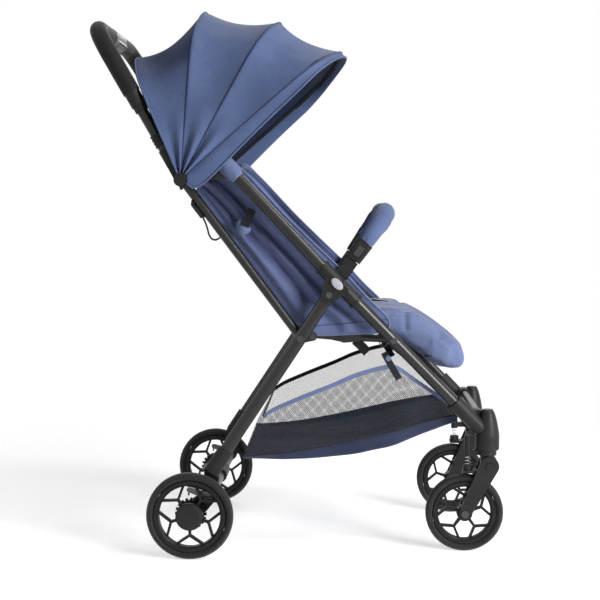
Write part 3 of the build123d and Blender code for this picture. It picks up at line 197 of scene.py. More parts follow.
# %% A paint
class Paint(Tree):
    """One material with a Principled shader."""

    def __init__(self, name, colour, **settings):
        self.material = bpy.data.materials.new(name)
        self.material.use_nodes = True
        super().__init__(self.material.node_tree)
        self.colour = colour
        self.shader = self.tree.nodes["Principled BSDF"]
        self.set("Base Color", (*colour, 1))
        for key, value in settings.items():
            self.set(key.replace("_", " "), value)

    def set(self, name, value):
        """Feed one of the shader's own inputs."""
        self.feed(self.shader.inputs[name], value)

    def place(self):
        """Position on the object, in metres."""
        return self.node("ShaderNodeTexCoord", output="Object")

    def axes(self):
        """The position's three numbers."""
        split = self.node("ShaderNodeSeparateXYZ", None, self.place())
        return [Socket(self, number) for number in split.output.node.outputs]

    def noise(self, scale, detail=2.0, roughness=0.5, stretch=None):
        """Soft random pattern from 0 to 1; stretch gives each axis its own scale."""
        where = self.place()
        if stretch:
            where = self.node("ShaderNodeVectorMath", {"operation": "MULTIPLY"}, where, stretch)
        values = {"Vector": where, "Scale": scale, "Detail": detail, "Roughness": roughness}
        return self.node("ShaderNodeTexNoise", **values)

    def tone(self, pattern, low, high):
        """Move the base colour between a darker and a lighter shade of itself."""
        shades = [(*(min(1.0, c * amount) for c in self.colour), 1.0) for amount in (low, high)]
        self.set("Base Color", self.node("ShaderNodeMix", {"data_type": "RGBA"}, pattern, *shades))

    def bump(self, height):
        """Raise the surface by a height pattern, in metres."""
        self.set("Normal", self.node("ShaderNodeBump", Strength=1.0, Distance=1.0, Height=height))


print("a paint also knows", [name for name in vars(Paint) if not name.startswith("_")])

# %% [markdown]
# ### Woven cloth
#
# Canopy and seat are woven polyester. Threads could be modelled one by one, but there are far too
# many: crossing sine waves raise them in the bump, slow noise shifts the tone and rumples the
# cloth, and a little sheen gives it a soft edge.


# %% Cloth
def cloth(name, colour, sheen=0.25, crumple=0.0006, tone=0.16, threads=1800.0):
    paint = Paint(name, colour, Sheen_Weight=sheen, Sheen_Roughness=0.45, Specular_IOR_Level=0.1)
    x, y, z = paint.axes()
    weave = ((x + y * 0.35 + z) * threads).sine() * ((x * 0.9 - z + y) * threads).sine()
    cloud = paint.noise(9.0, 3.0, 0.55)
    fine = paint.noise(160.0, 2.0, 0.6)
    paint.tone((cloud * 0.75 + fine * 0.25).ramp(0.3, 0.72), 1 - tone, 1 + tone)
    paint.set("Roughness", fine * 0.12 + 0.79)
    wrinkle = paint.noise(26.0, 3.0, 0.6)
    paint.bump(weave * 0.00006 + wrinkle * crumple + fine * 0.00008)
    return paint


canopy_cloth = cloth("canopy_cloth", (0.092, 0.129, 0.255), sheen=0.15)
seat_cloth = cloth("seat_cloth", (0.140, 0.176, 0.320), crumple=0.0009)
sleeve_cloth = cloth("sleeve_cloth", (0.100, 0.136, 0.268), crumple=0.0007)
wing_cloth = cloth("wing_cloth", (0.128, 0.158, 0.305), crumple=0.0009)
seam_cloth = cloth("seam_cloth", (0.045, 0.06, 0.135))
lining_cloth = cloth("lining_cloth", (0.018, 0.027, 0.062))
basket_cloth = cloth("basket_cloth", (0.022, 0.031, 0.064), sheen=0.1)
strip_cloth = cloth("basket_strip_cloth", (0.026, 0.034, 0.070))
print("cloth node count", len(canopy_cloth.tree.nodes))

# %% [markdown]
# ### Webbing and netting
#
# Straps are ribbed webbing, the basket is an open net. The net could be a grey sheet, but its
# holes are what one sees, so they are really open: crossing sine waves drive Alpha, and the floor
# shows through. The ribs of the webbing are one sine wave along the strap. Its colour follows the
# ribs as painted shade and painted highlight, darker in the grooves and lighter on the ridges.


# %% Straps and nets
def webbing(name, colour, rib=0.0018):
    paint = Paint(name, colour, Sheen_Weight=0.2, Specular_IOR_Level=0.15)
    x, y, z = paint.axes()
    ribs = ((x + z) * (2 * pi / rib)).sine() * 0.5 + 0.5
    edge = (y * (2 * pi / (rib * 1.4))).sine() * 0.5 + 0.5
    fine = paint.noise(300.0, 2.0, 0.6)
    # colour: painted shade in the rib grooves and painted highlight on the ridges, plus random tone from the fine
    # noise
    paint.tone(ribs * 0.6 + fine * 0.4, 0.7, 1.35)
    paint.set("Roughness", fine * 0.2 + 0.65)
    paint.bump(ribs * 0.00014 + edge * 0.00008)
    return paint


def netting(name, colour, pitch=0.0034):
    finish = {"Roughness": 0.8, "Sheen_Weight": 0.1, "Specular_IOR_Level": 0.1}
    paint = Paint(name, colour, **finish)
    x, y, z = paint.axes()
    first = ((x + z) * (pi / pitch)).sine().absolute()
    second = ((x - z) * (pi / pitch)).sine().absolute()
    thread = 1.0 - first.least(second).ramp(0.10, 0.40)
    paint.tone(paint.noise(20.0, 2.0, 0.5), 0.8, 1.3)
    paint.set("Alpha", thread * 0.90 + 0.02)
    paint.bump(thread * 0.0002)
    return paint


strap_cloth = webbing("black_webbing", (0.016, 0.016, 0.02))
binding_dark = webbing("dark_binding", (0.012, 0.012, 0.018), 0.0012)
net_cloth = netting("basket_netting", (0.018, 0.020, 0.027))
print("net node count", len(net_cloth.tree.nodes))

# %% [markdown]
# ### Plastic and enamel
#
# Hubs and housings are pebbled black plastic, the tubes are enamelled. Both could be flat black,
# but small changes of tone, roughness and relief tell the eye one black from the other: pebbles
# for the plastic, fine specks under a thin clear coat for the enamel.


# %% Moulded plastic and painted tube
def moulding(name, colour, roughness=0.45):
    paint = Paint(name, colour, Specular_IOR_Level=0.2)
    pebble = paint.noise(900.0, 2.0, 0.6)
    cloud = paint.noise(24.0, 3.0, 0.6)
    paint.tone(cloud.ramp(0.35, 0.7), 0.9, 1.25)
    paint.set("Roughness", cloud * 0.16 + pebble * 0.08 + (roughness - 0.12))
    paint.bump(pebble * 0.00005)
    return paint


def enamel(name, colour, roughness=0.32):
    coat = {"Coat_Weight": 0.15, "Coat_Roughness": 0.16}
    paint = Paint(name, colour, Specular_IOR_Level=0.3, **coat)
    speck = paint.noise(2600.0, 1.0, 0.5)
    cloud = paint.noise(18.0, 3.0, 0.55)
    paint.tone(speck.ramp(0.3, 0.7), 0.88, 1.12)
    paint.set("Roughness", cloud * 0.12 + (roughness - 0.05))
    paint.bump(speck * 0.000002 + cloud * 0.00002)
    return paint


plastic = moulding("black_moulding", (0.014, 0.013, 0.013))
soft_plastic = moulding("charcoal_moulding", (0.05, 0.047, 0.047), 0.5)
grey_plastic = moulding("grey_moulding", (0.16, 0.16, 0.17), 0.4)
badge_plastic = moulding("silver_moulding", (0.36, 0.37, 0.39), 0.42)
rim_plastic = moulding("rim_moulding", (0.008, 0.0075, 0.008), 0.42)
frame_paint = enamel("frame_enamel", (0.011, 0.010, 0.010))
leg_paint = enamel("leg_enamel", (0.013, 0.012, 0.012), 0.36)
print("mouldings and enamels", 7)

# %% [markdown]
# ### Foam and steel
#
# Tyres and grip are closed-cell foam: a cell pattern dents the surface. Pins and springs are
# drawn steel, brushed along their length: the same noise, stretched across one axis, gives the
# scratches.


# %% Foam and steel
def foam(name, colour, roughness, cell=700.0):
    paint = Paint(name, colour, Sheen_Weight=0.1, Specular_IOR_Level=0.14)
    cells = paint.node("ShaderNodeTexVoronoi", Vector=paint.place(), Scale=cell)
    cloud = paint.noise(30.0, 3.0, 0.6)
    paint.tone(cloud.ramp(0.3, 0.7), 0.8, 1.35)
    paint.set("Roughness", cloud * 0.15 + (roughness - 0.08))
    paint.bump(cells * 0.00022)
    return paint


def bright_steel(name, colour):
    paint = Paint(name, colour, Metallic=1.0)
    brush = paint.noise(120.0, 2.0, 0.6, (1.0, 14.0, 1.0))
    paint.tone(brush, 0.85, 1.1)
    paint.set("Roughness", brush * 0.2 + 0.2)
    paint.bump(brush * 0.00001)
    return paint


tyre_foam = foam("tyre_foam", (0.016, 0.015, 0.016), 0.6)
grip_foam = foam("grip_foam", (0.009, 0.0085, 0.009), 0.62, 900.0)
steel = bright_steel("bright_steel", (0.62, 0.62, 0.63))
dark_steel = bright_steel("dark_steel", (0.09, 0.09, 0.095))
print("materials so far", len(bpy.data.materials))

# %% [markdown]
# ### Painting the frame
#
# The frame's record names a material slot for each node. Painting node by node would be a long
# list, so each slot gets a finish, and only the few nodes that differ are named.

# %% Paint the frame's nodes
finishes = {
    "frame_metal": frame_paint,
    "black_plastic": plastic,
    "grip_foam": grip_foam,
    "tyre_foam": tyre_foam,
    "rim_plastic": rim_plastic,
    "grey_plastic": grey_plastic,
    "steel": steel,
    "webbing": strap_cloth,
    "blue_fabric": seat_cloth,
    "dark_fabric": basket_cloth,
}
own_finish = {
    leg_paint: ("rear_legs", "rear_crossbar"),
    dark_steel: ("frame_rivets", "brake_shaft"),
    soft_plastic: (
        "bumper_button_right", "bumper_button_left", "rear_fasteners",
        "front_axle_bolt_right", "front_axle_bolt_left",
    ),
}
finish_of = {part["node"]: finishes[part["material_slot"]] for part in frame["record"]["subparts"]}
for paint, names in own_finish.items():
    finish_of.update(dict.fromkeys(names, paint))
for name, node in frame["nodes"].items():
    node.data.materials.clear()
    node.data.materials.append(finish_of[name].material)
print("painted", len(frame["nodes"]), "nodes in", len(set(finish_of.values())), "finishes")

# %% [markdown]
# ## Camera
#
# A catalogue view of a stroller is nearly square to its side, so that its lines can be compared.
# A wide lens close by would bend them. So a long lens stands far off, at the height of the seat.


# %% The camera
def link(name, data):
    """New object with this data, in the scene."""
    made = bpy.data.objects.new(name, data)
    bpy.context.scene.collection.objects.link(made)
    return made


camera = link("camera", bpy.data.cameras.new("camera"))
camera.data.lens = 75
camera.data.sensor_width = 36
camera.location = (rear_axle[0] + 0.2985, -2.548, 0.663)
yaw, pitch = -0.039, -0.074
aim = Vector((sin(yaw) * cos(pitch), cos(yaw) * cos(pitch), sin(pitch)))
camera.rotation_euler = aim.to_track_quat("-Z", "Y").to_euler()
bpy.context.scene.camera = camera
bpy.context.scene.view_settings.view_transform = "Standard"
print("camera at", [round(v, 3) for v in camera.location])

# %% [markdown]
# ## World
#
# The surroundings are white. Strong light would make them so, but it would wash out the cloth. So
# the world gives little light, and is white only to rays from the camera, to glossy rays, so that
# paint and metal mirror a white room, and to rays that pass through the net.

# %% A world that only looks white
world = bpy.data.worlds.new("world")
bpy.context.scene.world = world
world.use_nodes = True
sky = Tree(world.node_tree)
ray_kinds = ("Is Camera Ray", "Is Glossy Ray", "Is Transmission Ray")
rays = [sky.node("ShaderNodeLightPath", output=kind) for kind in ray_kinds]
light = sky.node("ShaderNodeBackground", None, (0.76, 0.76, 0.77, 1), 0.14)
white = sky.node("ShaderNodeBackground", None, (1, 1, 1, 1), 1.0)
chosen = sky.node("ShaderNodeMixShader", None, rays[0].most(rays[1]).most(rays[2]), light, white)
sky.feed(world.node_tree.nodes["World Output"].inputs["Surface"], chosen)
print("world nodes", len(world.node_tree.nodes))

# %% [markdown]
# ## Lamps
#
# The key lamp stands ahead of the stroller and to its right, so the folds of the cloth throw
# shade. Black tubes show hardly any light of their own: they are drawn by the reflections of
# small lamps, one above, one behind, and a last one on the far side picks out the edges.


# %% Five soft lamps
def lamp(name, place, size, power):
    """Square soft light at a place, aimed at the stroller's middle."""
    made = link(name, bpy.data.lights.new(name, "AREA"))
    made.data.shape = "SQUARE"
    made.data.size = size
    made.data.energy = power
    made.location = place
    aim = Vector((0, 0, 0.5)) - Vector(place)
    made.rotation_euler = aim.to_track_quat("-Z", "Y").to_euler()


lamp("key_light", (2.35, -2.1, 1.15), 1.2, 106)
lamp("streak_light", (2.1, -1.0, 2.5), 0.55, 30)
lamp("top_light", (0.7, -0.5, 2.9), 1.2, 3)
lamp("rear_streak_light", (-2.35, -1.75, 1.65), 0.5, 6)
lamp("rim_light", (0.4, 2.4, 2.1), 1.2, 16)
print("lamps", len(bpy.data.lights))

# %% [markdown]
# ## Floor
#
# The stroller stands on a white floor without a horizon. A large plane would end in a line and
# throw much light up, so the floor fades away: its Alpha falls with the distance from the middle.

# %% A floor that fades
bpy.ops.mesh.primitive_plane_add(size=30, location=(0, 0, cad_low[2]))
floor = bpy.context.object
floor.name = "floor"
floor_glow = {"Emission_Strength": 0.55, "Emission_Color": (1, 1, 1, 1)}
floor_paint = Paint("floor", (0.92, 0.92, 0.92), Roughness=0.95, **floor_glow)
east, north, _ = floor_paint.axes()
far = (east * east + north * north) ** 0.5
floor_paint.set("Alpha", 1.0 - far.ramp(0.75, 1.5))
floor.data.materials.append(floor_paint.material)
print("floor at", round(floor.location.z, 4))

# %% [markdown]
# ## From points to meshes
#
# Most cloth here is a grid of points. It could be pulled into shape by hand in edit mode, but a
# grid of numbers can be measured, mirrored and wrinkled in one line each. `sheet_grid` makes the
# surface, and `thicken` gives it the cloth's thickness.

# %% Grids into objects
slot_of = {paint: slot for slot, paint in finishes.items()}
slot_of |= {net_cloth: "dark_fabric", binding_dark: "dark_fabric"}
slot_of |= {dark_steel: "steel", badge_plastic: "grey_plastic"}


def make(name, points, faces, paint, body=None):
    """New smooth object from points and faces, with a material, riding on a body."""
    mesh = bpy.data.meshes.new(name)
    mesh.from_pydata([tuple(p) for p in points], [], faces)
    mesh.validate()
    mesh.shade_smooth()
    mesh.materials.append(paint.material)
    piece = link(name, mesh)
    if body:
        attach(piece, body)
    return piece


def grid_faces(rows, columns, close_rows=False, close_columns=False):
    """Quads that join a grid of points, row after row."""
    faces = []
    for r in range(rows if close_rows else rows - 1):
        for c in range(columns if close_columns else columns - 1):
            r2, c2 = (r + 1) % rows, (c + 1) % columns
            corners = (r, c), (r, c2), (r2, c2), (r2, c)
            faces.append(tuple(row * columns + column for row, column in corners))
    return faces


def end_face(rows, columns):
    """Face that closes the last ring of a stack of rings."""
    return tuple(range((rows - 1) * columns, rows * columns))


def closed_faces(rows, columns):
    """Faces of a stack of rings, closed at both ends."""
    ends = [tuple(reversed(range(columns))), end_face(rows, columns)]
    return grid_faces(rows, columns, False, True) + ends


def sheet_grid(name, points, paint, body=None):
    """Surface from an array of points shaped (rows, columns, 3)."""
    return make(name, points.reshape(-1, 3), grid_faces(*points.shape[:2]), paint, body)


print("a grid of 3 by 4 points has", len(grid_faces(3, 4)), "faces")


# %% Thickness and smoothing
def apply_modifiers(piece):
    """Bake an object's modifiers into its mesh."""
    graph = bpy.context.evaluated_depsgraph_get()
    mesh = bpy.data.meshes.new_from_object(piece.evaluated_get(graph))
    piece.modifiers.clear()
    piece.data = mesh
    mesh.shade_smooth()
    return piece


def subdivide(piece):
    """Smooth a mesh by one level."""
    levels = piece.modifiers.new("smooth", "SUBSURF")
    levels.levels = levels.render_levels = 1
    return apply_modifiers(piece)


def thicken(piece, thickness, offset=0.0, smoother=False, lining=None):
    """Give a sheet its thickness, smooth it, and line its inner side with another cloth."""
    solid = piece.modifiers.new("thickness", "SOLIDIFY")
    solid.thickness = thickness
    solid.offset = offset
    if lining:
        piece.data.materials.append(lining.material)
        solid.material_offset = 1
        solid.material_offset_rim = 0
    return subdivide(piece) if smoother else apply_modifiers(piece)


# %% [markdown]
# Hems, seams and wires are round cords, straps are flat ribbons. Blender's curves with a bevel
# could make both, but a cord's rings that turn as little as possible from point to point never
# twist, and they are plain mesh from the start.


# %% Cords
def unit(step):
    """Direction of a step, one metre long."""
    return step / np.linalg.norm(step)


def tube(name, path, radius, paint, body=None, sides=8, closed=False):
    """Round cord along a list of points."""
    path = np.array(path, float)
    count = len(path)
    radii = np.broadcast_to(radius, (count,))
    rings = []
    side_way = None
    for n in range(count):
        before = path[n - 1] if n or closed else path[n]
        after = path[(n + 1) % count] if n < count - 1 or closed else path[n]
        tangent = unit(after - before)
        if side_way is None:
            helper = np.array([0, 1, 0]) if abs(tangent[1]) < 0.9 else np.array([1, 0, 0])
            side_way = np.cross(tangent, helper)
        side_way = unit(side_way - tangent * (side_way @ tangent))
        other = np.cross(tangent, side_way)
        for a in 2 * pi * np.arange(sides) / sides:
            rings.append(path[n] + radii[n] * (cos(a) * side_way + sin(a) * other))
    faces = grid_faces(count, sides, True, True) if closed else closed_faces(count, sides)
    return make(name, rings, faces, paint, body)


print("a closed cord of 28 rings has", len(grid_faces(28, 8, True, True)), "faces")


# %% Straps
def ribbon(name, path, width, across, thickness, paint, body=None):
    """Flat strap along a list of points; across is its width's direction."""
    across = np.broadcast_to(np.array(across, float), (len(path), 3))
    across = across / np.linalg.norm(across, axis=1)[:, None]
    columns = np.array([-0.5, -0.42, 0.0, 0.42, 0.5]) * width
    points = np.array(path, float)[:, None, :] + across[:, None, :] * columns[None, :, None]
    return thicken(sheet_grid(name, points, paint, body), thickness)


print("a ribbon of 12 points has", len(grid_faces(12, 5)), "faces before it is thickened")


# %% Smooth and even curves
def distances(points):
    """How far along a line each of its points lies."""
    return np.r_[0, np.cumsum(np.linalg.norm(np.diff(points, axis=0), axis=1))]


def spread(points, count, numbers=3):
    """Resample a line evenly; its length is counted in its first two or three numbers."""
    steps = distances(points[:, :numbers])
    marks = np.linspace(0, steps[-1], count)
    return np.stack([np.interp(marks, steps, column) for column in points.T], 1)


def curve_points(points, count, closed=False):
    """Smooth curve through some points, resampled evenly."""
    points = np.array(points, float)
    if closed:
        first, last = points[-1:], points[:2]
    else:
        first, last = 2 * points[:1] - points[1:2], 2 * points[-1:] - points[-2:-1]
    points = np.vstack([first, points, last])
    slopes = ((points[2:] - points[:-2]) / 2)[:, None]
    knots = points[1:-1, None]
    t = np.linspace(0, 1, 24, endpoint=False)[:, None]
    h = [2 * t**3 - 3 * t**2 + 1, t**3 - 2 * t**2 + t, -2 * t**3 + 3 * t**2, t**3 - t**2]
    fine = h[0] * knots[:-1] + h[1] * slopes[:-1] + h[2] * knots[1:] + h[3] * slopes[1:]
    fine = np.vstack([fine.reshape(-1, points.shape[1]), knots[-1]])
    return spread(fine, count + 1)[:-1] if closed else spread(fine, count)


print("a curve of", len(curve_points(spots((0, 0), (50, 80), (100, 0)), 9)), "points")

# %% [markdown]
# ## Measuring cloth
#
# A tailor's question for every sheet is how large it would lie flat. It could be guessed, but the
# grid knows the sum of its faces.


# %% Flat sizes
def grid_area(points):
    """Area of a grid of points."""
    a = points[1:, :-1] - points[:-1, :-1]
    b = points[:-1, 1:] - points[:-1, :-1]
    c = points[1:, 1:] - points[1:, :-1]
    d = points[1:, 1:] - points[:-1, 1:]
    return sum(np.linalg.norm(np.cross(*pair), axis=2) for pair in ((a, b), (c, d))).sum() / 2


square = np.array([[[0, 0, 0], [1, 0, 0]], [[0, 1, 0], [1, 1, 0]]])
print("a unit square measures", grid_area(square))

# %% [markdown]
# ## Canopy
#
# The real canopy is three panels sewn over wire bows that fan out from the handle's pivot. A
# cloth simulation could stretch them, but it is slow and slips off the bows. So the panels are
# worked out: each bow is an arch in a plane through the pivot, with straight sides, round
# shoulders and a gently crowned top. Its size is read from the bow in the frame.

# %% The bows in the frame
handle_pivot = side("handle_fold")
rear_angle, rear_reach = radians(113.5), 0.2705
arch_start = 0.013
cloth_gap = 0.0035


def bow_facts(name):
    """Angle of a bow's plane, its reach along that plane, and its half width."""
    verts = np.array([v.co for v in frame["nodes"][name].data.vertices])
    top = verts[np.abs(verts[:, 1]) < 0.12]
    reach = np.hypot(top[:, 0] - handle_pivot[0], top[:, 2] - handle_pivot[1])
    best = top[np.argsort(reach)[-8:]].mean(0)
    angle = atan2(best[2] - handle_pivot[1], best[0] - handle_pivot[0])
    return angle, reach.max() + cloth_gap, verts[:, 1].max() + cloth_gap


bows = [bow_facts(f"canopy_bow_{n}") for n in (1, 2, 3)]
stations = [(rear_angle, rear_reach, bows[0][2]), *bows]
print("bows at", [round(float(np.degrees(bow[0]))) for bow in bows], "degrees above forward")


# %% One arch
def arch(half, reach, count, crown=0.36, corner=0.085):
    """Arch from foot to foot, evenly spaced: y, distance out from the pivot, and outward normal."""
    middle = reach - crown
    bend = middle + sqrt((crown - corner) ** 2 - (half - corner) ** 2)
    turn = atan2(bend - middle, half - corner)
    side_line = [(half, d, 1, 0) for d in np.linspace(arch_start, bend, 60)]
    shoulder = [
        (half - corner + corner * cos(a), bend + corner * sin(a), cos(a), sin(a))
        for a in np.linspace(0, turn, 30)[1:]
    ]
    top_turns = np.linspace(turn, pi / 2, 40)[1:]
    top = [(crown * cos(a), middle + crown * sin(a), cos(a), sin(a)) for a in top_turns]
    left = np.array(side_line + shoulder + top)
    return spread(np.vstack([left[:-1] * (-1, 1, -1, 1), left[::-1]]), count, 2)


print("front arch", round(float(distances(arch(*stations[3][:0:-1], 99)[:, :2])[-1]), 3), "m round")

# %% [markdown]
# Between two bows the cloth pulls in, which gives the scalloped outline. At the pivot it gathers
# into pleats, and ahead of the front bow it ends in a short flap. Slow noise keeps it from
# looking like a lampshade.


# %% Easing and mixing
def smooth(t):
    """Ease from 0 to 1."""
    t = np.clip(t, 0.0, 1.0)
    return t * t * (3 - 2 * t)


def mix(a, b, t):
    """Blend between two values."""
    return a + (b - a) * t


print("halfway eases to", smooth(0.5), "and a quarter to", smooth(0.25))


# %% One row of the canopy
def fan_point(angle, y, distance):
    """Place in space from an angle above forward, a place across and a distance from the pivot."""
    forward, up = np.cos(angle) * distance, np.sin(angle) * distance
    return np.stack([handle_pivot[0] + forward, y, handle_pivot[1] + up], -1)


def flap_row(past, count):
    """One row of the flap: past runs from 0 at the front bow to 1 at the hem."""
    angle, reach, half = stations[3]
    y, d, _, _ = arch(half, reach, count).T
    ahead = 0.017 + 0.021 * np.exp(-(np.maximum(d, 0.04) - 0.04) / 0.12)
    ahead = mix(ahead, 0.012, smooth((d - 0.26) / 0.12))
    return fan_point(angle - past * ahead / np.maximum(d, 0.03), y, d)


def canopy_row(place, count=141):
    """One row of cloth: place runs from 0 at the handle to 3 at the front bow and 4 at the hem."""
    if place > 3:
        return flap_row(place - 3, count)
    section = min(int(place), 2)
    t = place - section
    (a0, r0, h0), (a1, r1, h1) = stations[section], stations[section + 1]
    near, far = arch(h0, r0, count), arch(h1, r1, count)
    points = mix(fan_point(a0, near[:, 0], near[:, 1]), fan_point(a1, far[:, 0], far[:, 1]), t)
    _, distance, across, out_way = mix(near, far, t).T
    inner = np.clip((t - 0.03) / 0.94, 0, 1)
    deepest = (0.019, 0.0125, 0.0125)[section]
    depth = mix(0.007, deepest, np.abs(out_way)) * smooth((distance - 0.08) / 0.16)
    pull = sin(pi * inner) ** 0.8 * depth
    angle = mix(a0, a1, t)
    normal = np.stack([np.cos(angle) * out_way, across, np.sin(angle) * out_way], -1)
    near_pivot = 1 - smooth((distance - 0.03) / 0.13)
    pleat = 0.0035 * np.cos(place * 7.3 + 0.6) * near_pivot * np.abs(across)
    return points - normal * (pull - pleat)[:, None]


print("middle of the first panel at", canopy_row(0.5)[70].round(3))


# %% The whole canopy, creased
def wobble(points, scale, amount, seed):
    """Slow random push on each point, up to amount."""
    shift = Vector((seed, seed * 0.7, -seed))
    pushes = [noise.noise(Vector(p) * scale + shift) for p in points.reshape(-1, 3)]
    return np.array(pushes).reshape(points.shape[:-1]) * amount


places = np.concatenate([np.linspace(s, s + 1, 19)[:-1] for s in range(3)] + [np.linspace(3, 4, 7)])
canopy_points = np.array([canopy_row(p) for p in places])
heart = np.array([handle_pivot[0] + 0.03, 0, handle_pivot[1] + 0.06])
outward = canopy_points - heart
outward /= np.linalg.norm(outward, axis=2)[:, :, None]
slack = np.sin(pi * (places % 1))[:, None] * 0.5 + 0.5
creases = wobble(canopy_points, 7.0, 0.004, 3.0) + wobble(canopy_points, 21.0, 0.0012, 9.0)
canopy_points += outward * (creases * slack)[:, :, None]
print("canopy grid", canopy_points.shape[:2])

# %% [markdown]
# Each panel is its own piece. The inner side gets the dark lining, except on the flap, which is
# turned outward. Round cords stand for the seams over the bows and the hems at both ends.


# %% Rows, places and baking
def row_at(place):
    """Number of the row at a place."""
    return int(np.argmin(np.abs(places - place)))


def at(point, y):
    """Place in space of a side-view point, this far to the left."""
    return np.array([point[0], y, point[1]])


def bend(piece, behind, ahead, start, end):
    """Bake a piece's placement into its mesh. Its two bodies and two side-view points are not used."""
    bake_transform(piece)


print("seams over the bows at rows", [row_at(n) for n in (1, 2, 3)])

# %% Three panels
panel_bodies = (("handle", "bow_1"), ("bow_1", "bow_2"), ("bow_2", "bow_3"))
for number, (behind, ahead) in enumerate(panel_bodies):
    last = row_at(4 if number == 2 else number + 1)
    points = canopy_points[row_at(number) : last + 1]
    panel = sheet_grid(f"canopy_panel_{number + 1}", points[:, ::-1], canopy_cloth)
    thicken(panel, 0.0014, -1.0, True, lining_cloth)
    for face in panel.data.polygons:
        x, _, z = face.center
        if atan2(z - handle_pivot[1], x - handle_pivot[0]) < stations[3][0] - 0.01:
            face.material_index = 0
    middle = (stations[number][0] + stations[number + 1][0]) / 2
    onward = np.array([sin(middle), -cos(middle)]) * 0.03
    bend(panel, behind, ahead, handle_pivot - onward, handle_pivot + onward)
    if number == 0:
        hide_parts("canopy_cover")

# %% Hems and seams of the canopy
for name, place, radius, paint, body in (
    ("canopy_rear_hem", 0, 0.0021, canopy_cloth, "handle"),
    ("canopy_seam_1", 1, 0.0013, seam_cloth, "bow_1"),
    ("canopy_seam_2", 2, 0.0013, seam_cloth, "bow_2"),
    ("canopy_seam_3", 3, 0.0013, seam_cloth, "bow_3"),
    ("canopy_front_hem", 4, 0.0021, canopy_cloth, "bow_3"),
):
    row = row_at(place)
    tube(name, canopy_points[row] + outward[row] * 0.0007, radius, paint, body)

# %% [markdown]
# ## Seat, calf rest and backrest
#
# They are quilted covers over foam. Rounded boxes would look hard, and a free simulation could
# grow through the frame. So each pad starts slim, cloth pressure swells it, and a cap keeps the
# swelling small. Seams and gathers are pressed in afterwards, along the normals.


# %% A closed pad
def pad(name, outline, half_widths, columns=45, ring=72):
    """Closed pad: a side-view outline carried across the seat, drawn in towards its ends."""
    loop = curve_points(outline, ring, True)
    middle = loop.mean(0)
    c = np.linspace(-1, 1, columns)[:, None]
    shrink = mix(1, 1 - smooth((abs(c) - 0.84) / 0.16) * 0.4, 0.6)
    place = middle + (loop - middle) * shrink[:, :, None]
    half = np.interp(loop[:, 0], *half_widths)
    points = np.stack([place[:, :, 0], c * half, place[:, :, 1]], -1)
    return make(name, points.reshape(-1, 3), closed_faces(columns, ring), seat_cloth)


print("a pad starts with", len(closed_faces(45, 72)), "faces")


# %% Swelling a pad
def inflate(piece, cap, voxel=0.0055, pressure=4.0, frames=20):
    """Remesh a pad and swell it by cloth pressure, each point within the cap of its start."""
    remesh = piece.modifiers.new("remesh", "REMESH")
    remesh.mode = "VOXEL"
    remesh.voxel_size = voxel
    apply_modifiers(piece)
    before = np.array([v.co for v in piece.data.vertices])
    swelling = piece.modifiers.new("cloth", "CLOTH")
    swelling.settings.quality = 5
    swelling.settings.use_pressure = True
    swelling.settings.uniform_pressure_force = pressure
    swelling.settings.effector_weights.gravity = 0
    swelling.point_cache.frame_start = 1
    swelling.point_cache.frame_end = frames
    for number in range(1, frames + 1):
        bpy.context.scene.frame_set(number)
    apply_modifiers(piece)
    bpy.context.scene.frame_set(1)
    move = np.array([v.co for v in piece.data.vertices]) - before
    length = np.linalg.norm(move, axis=1, keepdims=True)
    move *= np.minimum(1, cap / np.maximum(length, 1e-9))
    piece.data.vertices.foreach_set("co", (before + move).ravel())
    piece.data.update()
    return subdivide(piece)


print("pads swell by simulation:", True)


# %% Pressing seams in
def press(piece, depth):
    """Move points along their normals by a depth worked out from place and normal."""
    mesh = piece.data
    places = np.array([v.co for v in mesh.vertices])
    normals = np.array([v.normal for v in mesh.vertices])
    mesh.vertices.foreach_set("co", (places + normals * depth(places, normals)[:, None]).ravel())
    mesh.update()


def groove(distance, width):
    """1 in a seam, fading to 0 at its width."""
    return np.exp(-((distance / width) ** 2))


def drift(places, scale):
    """Slow random number for each place."""
    return np.array([noise.noise(Vector(p) * scale) for p in places])


print("a groove at its width is", round(float(groove(1, 1)), 3))

# %% [markdown]
# The seat and the calf rest are one pad that bends over the front rail. Two seams cross it, two
# run along it, and at the sides it gathers where it turns down.

# %% Seat and calf rest
front_outline = spots(
    (264, 455), (300, 462), (340, 465), (380, 463), (409, 456), (438, 444), (463, 428), (492, 406),
    (513, 390), (523, 372), (523, 357), (516, 347), (500, 345), (482, 353), (464, 364), (444, 383),
    (420, 402), (396, 420), (374, 428), (340, 423), (300, 419), (264, 416),
)
seat_widths = ([spot(360, 0)[0], spot(400, 0)[0]], [0.158, 0.147])
front_pad = inflate(pad("front_pad", front_outline, seat_widths), 0.007)


def front_press(places, normals):
    """Cross seams on the top, two long seams, and gathers where the pad bends over the rail."""
    forward = places[:, 0] - rear_axle[0]
    edge = np.interp(places[:, 0], *seat_widths) - np.abs(places[:, 1])
    depth = -0.004 * groove(forward - 0.408, 0.006) * (normals[:, 2] > 0)
    depth -= 0.003 * groove(forward - 0.330, 0.005) * (normals[:, 2] > 0.3)
    depth -= 0.0028 * groove(np.abs(places[:, 1]) - 0.060, 0.005) * (normals[:, 2] > 0.2)
    bend = groove(forward - 0.418, 0.040) * smooth((0.455 - places[:, 2]) / 0.05)
    gather = np.sin(forward * 480 + places[:, 2] * 260 + drift(places, 40) * 9)
    low_side = smooth((0.440 - 0.7 * (forward - 0.40) - places[:, 2]) / 0.03)
    depth += 0.0020 * gather * bend * smooth((0.012 - edge) / 0.02) * low_side
    fine = np.array([noise.noise(Vector((p[0] * 18, p[1] * 60, p[2] * 18))) for p in places])
    return depth + drift(places, 14) * 0.0035 + fine * 0.0012


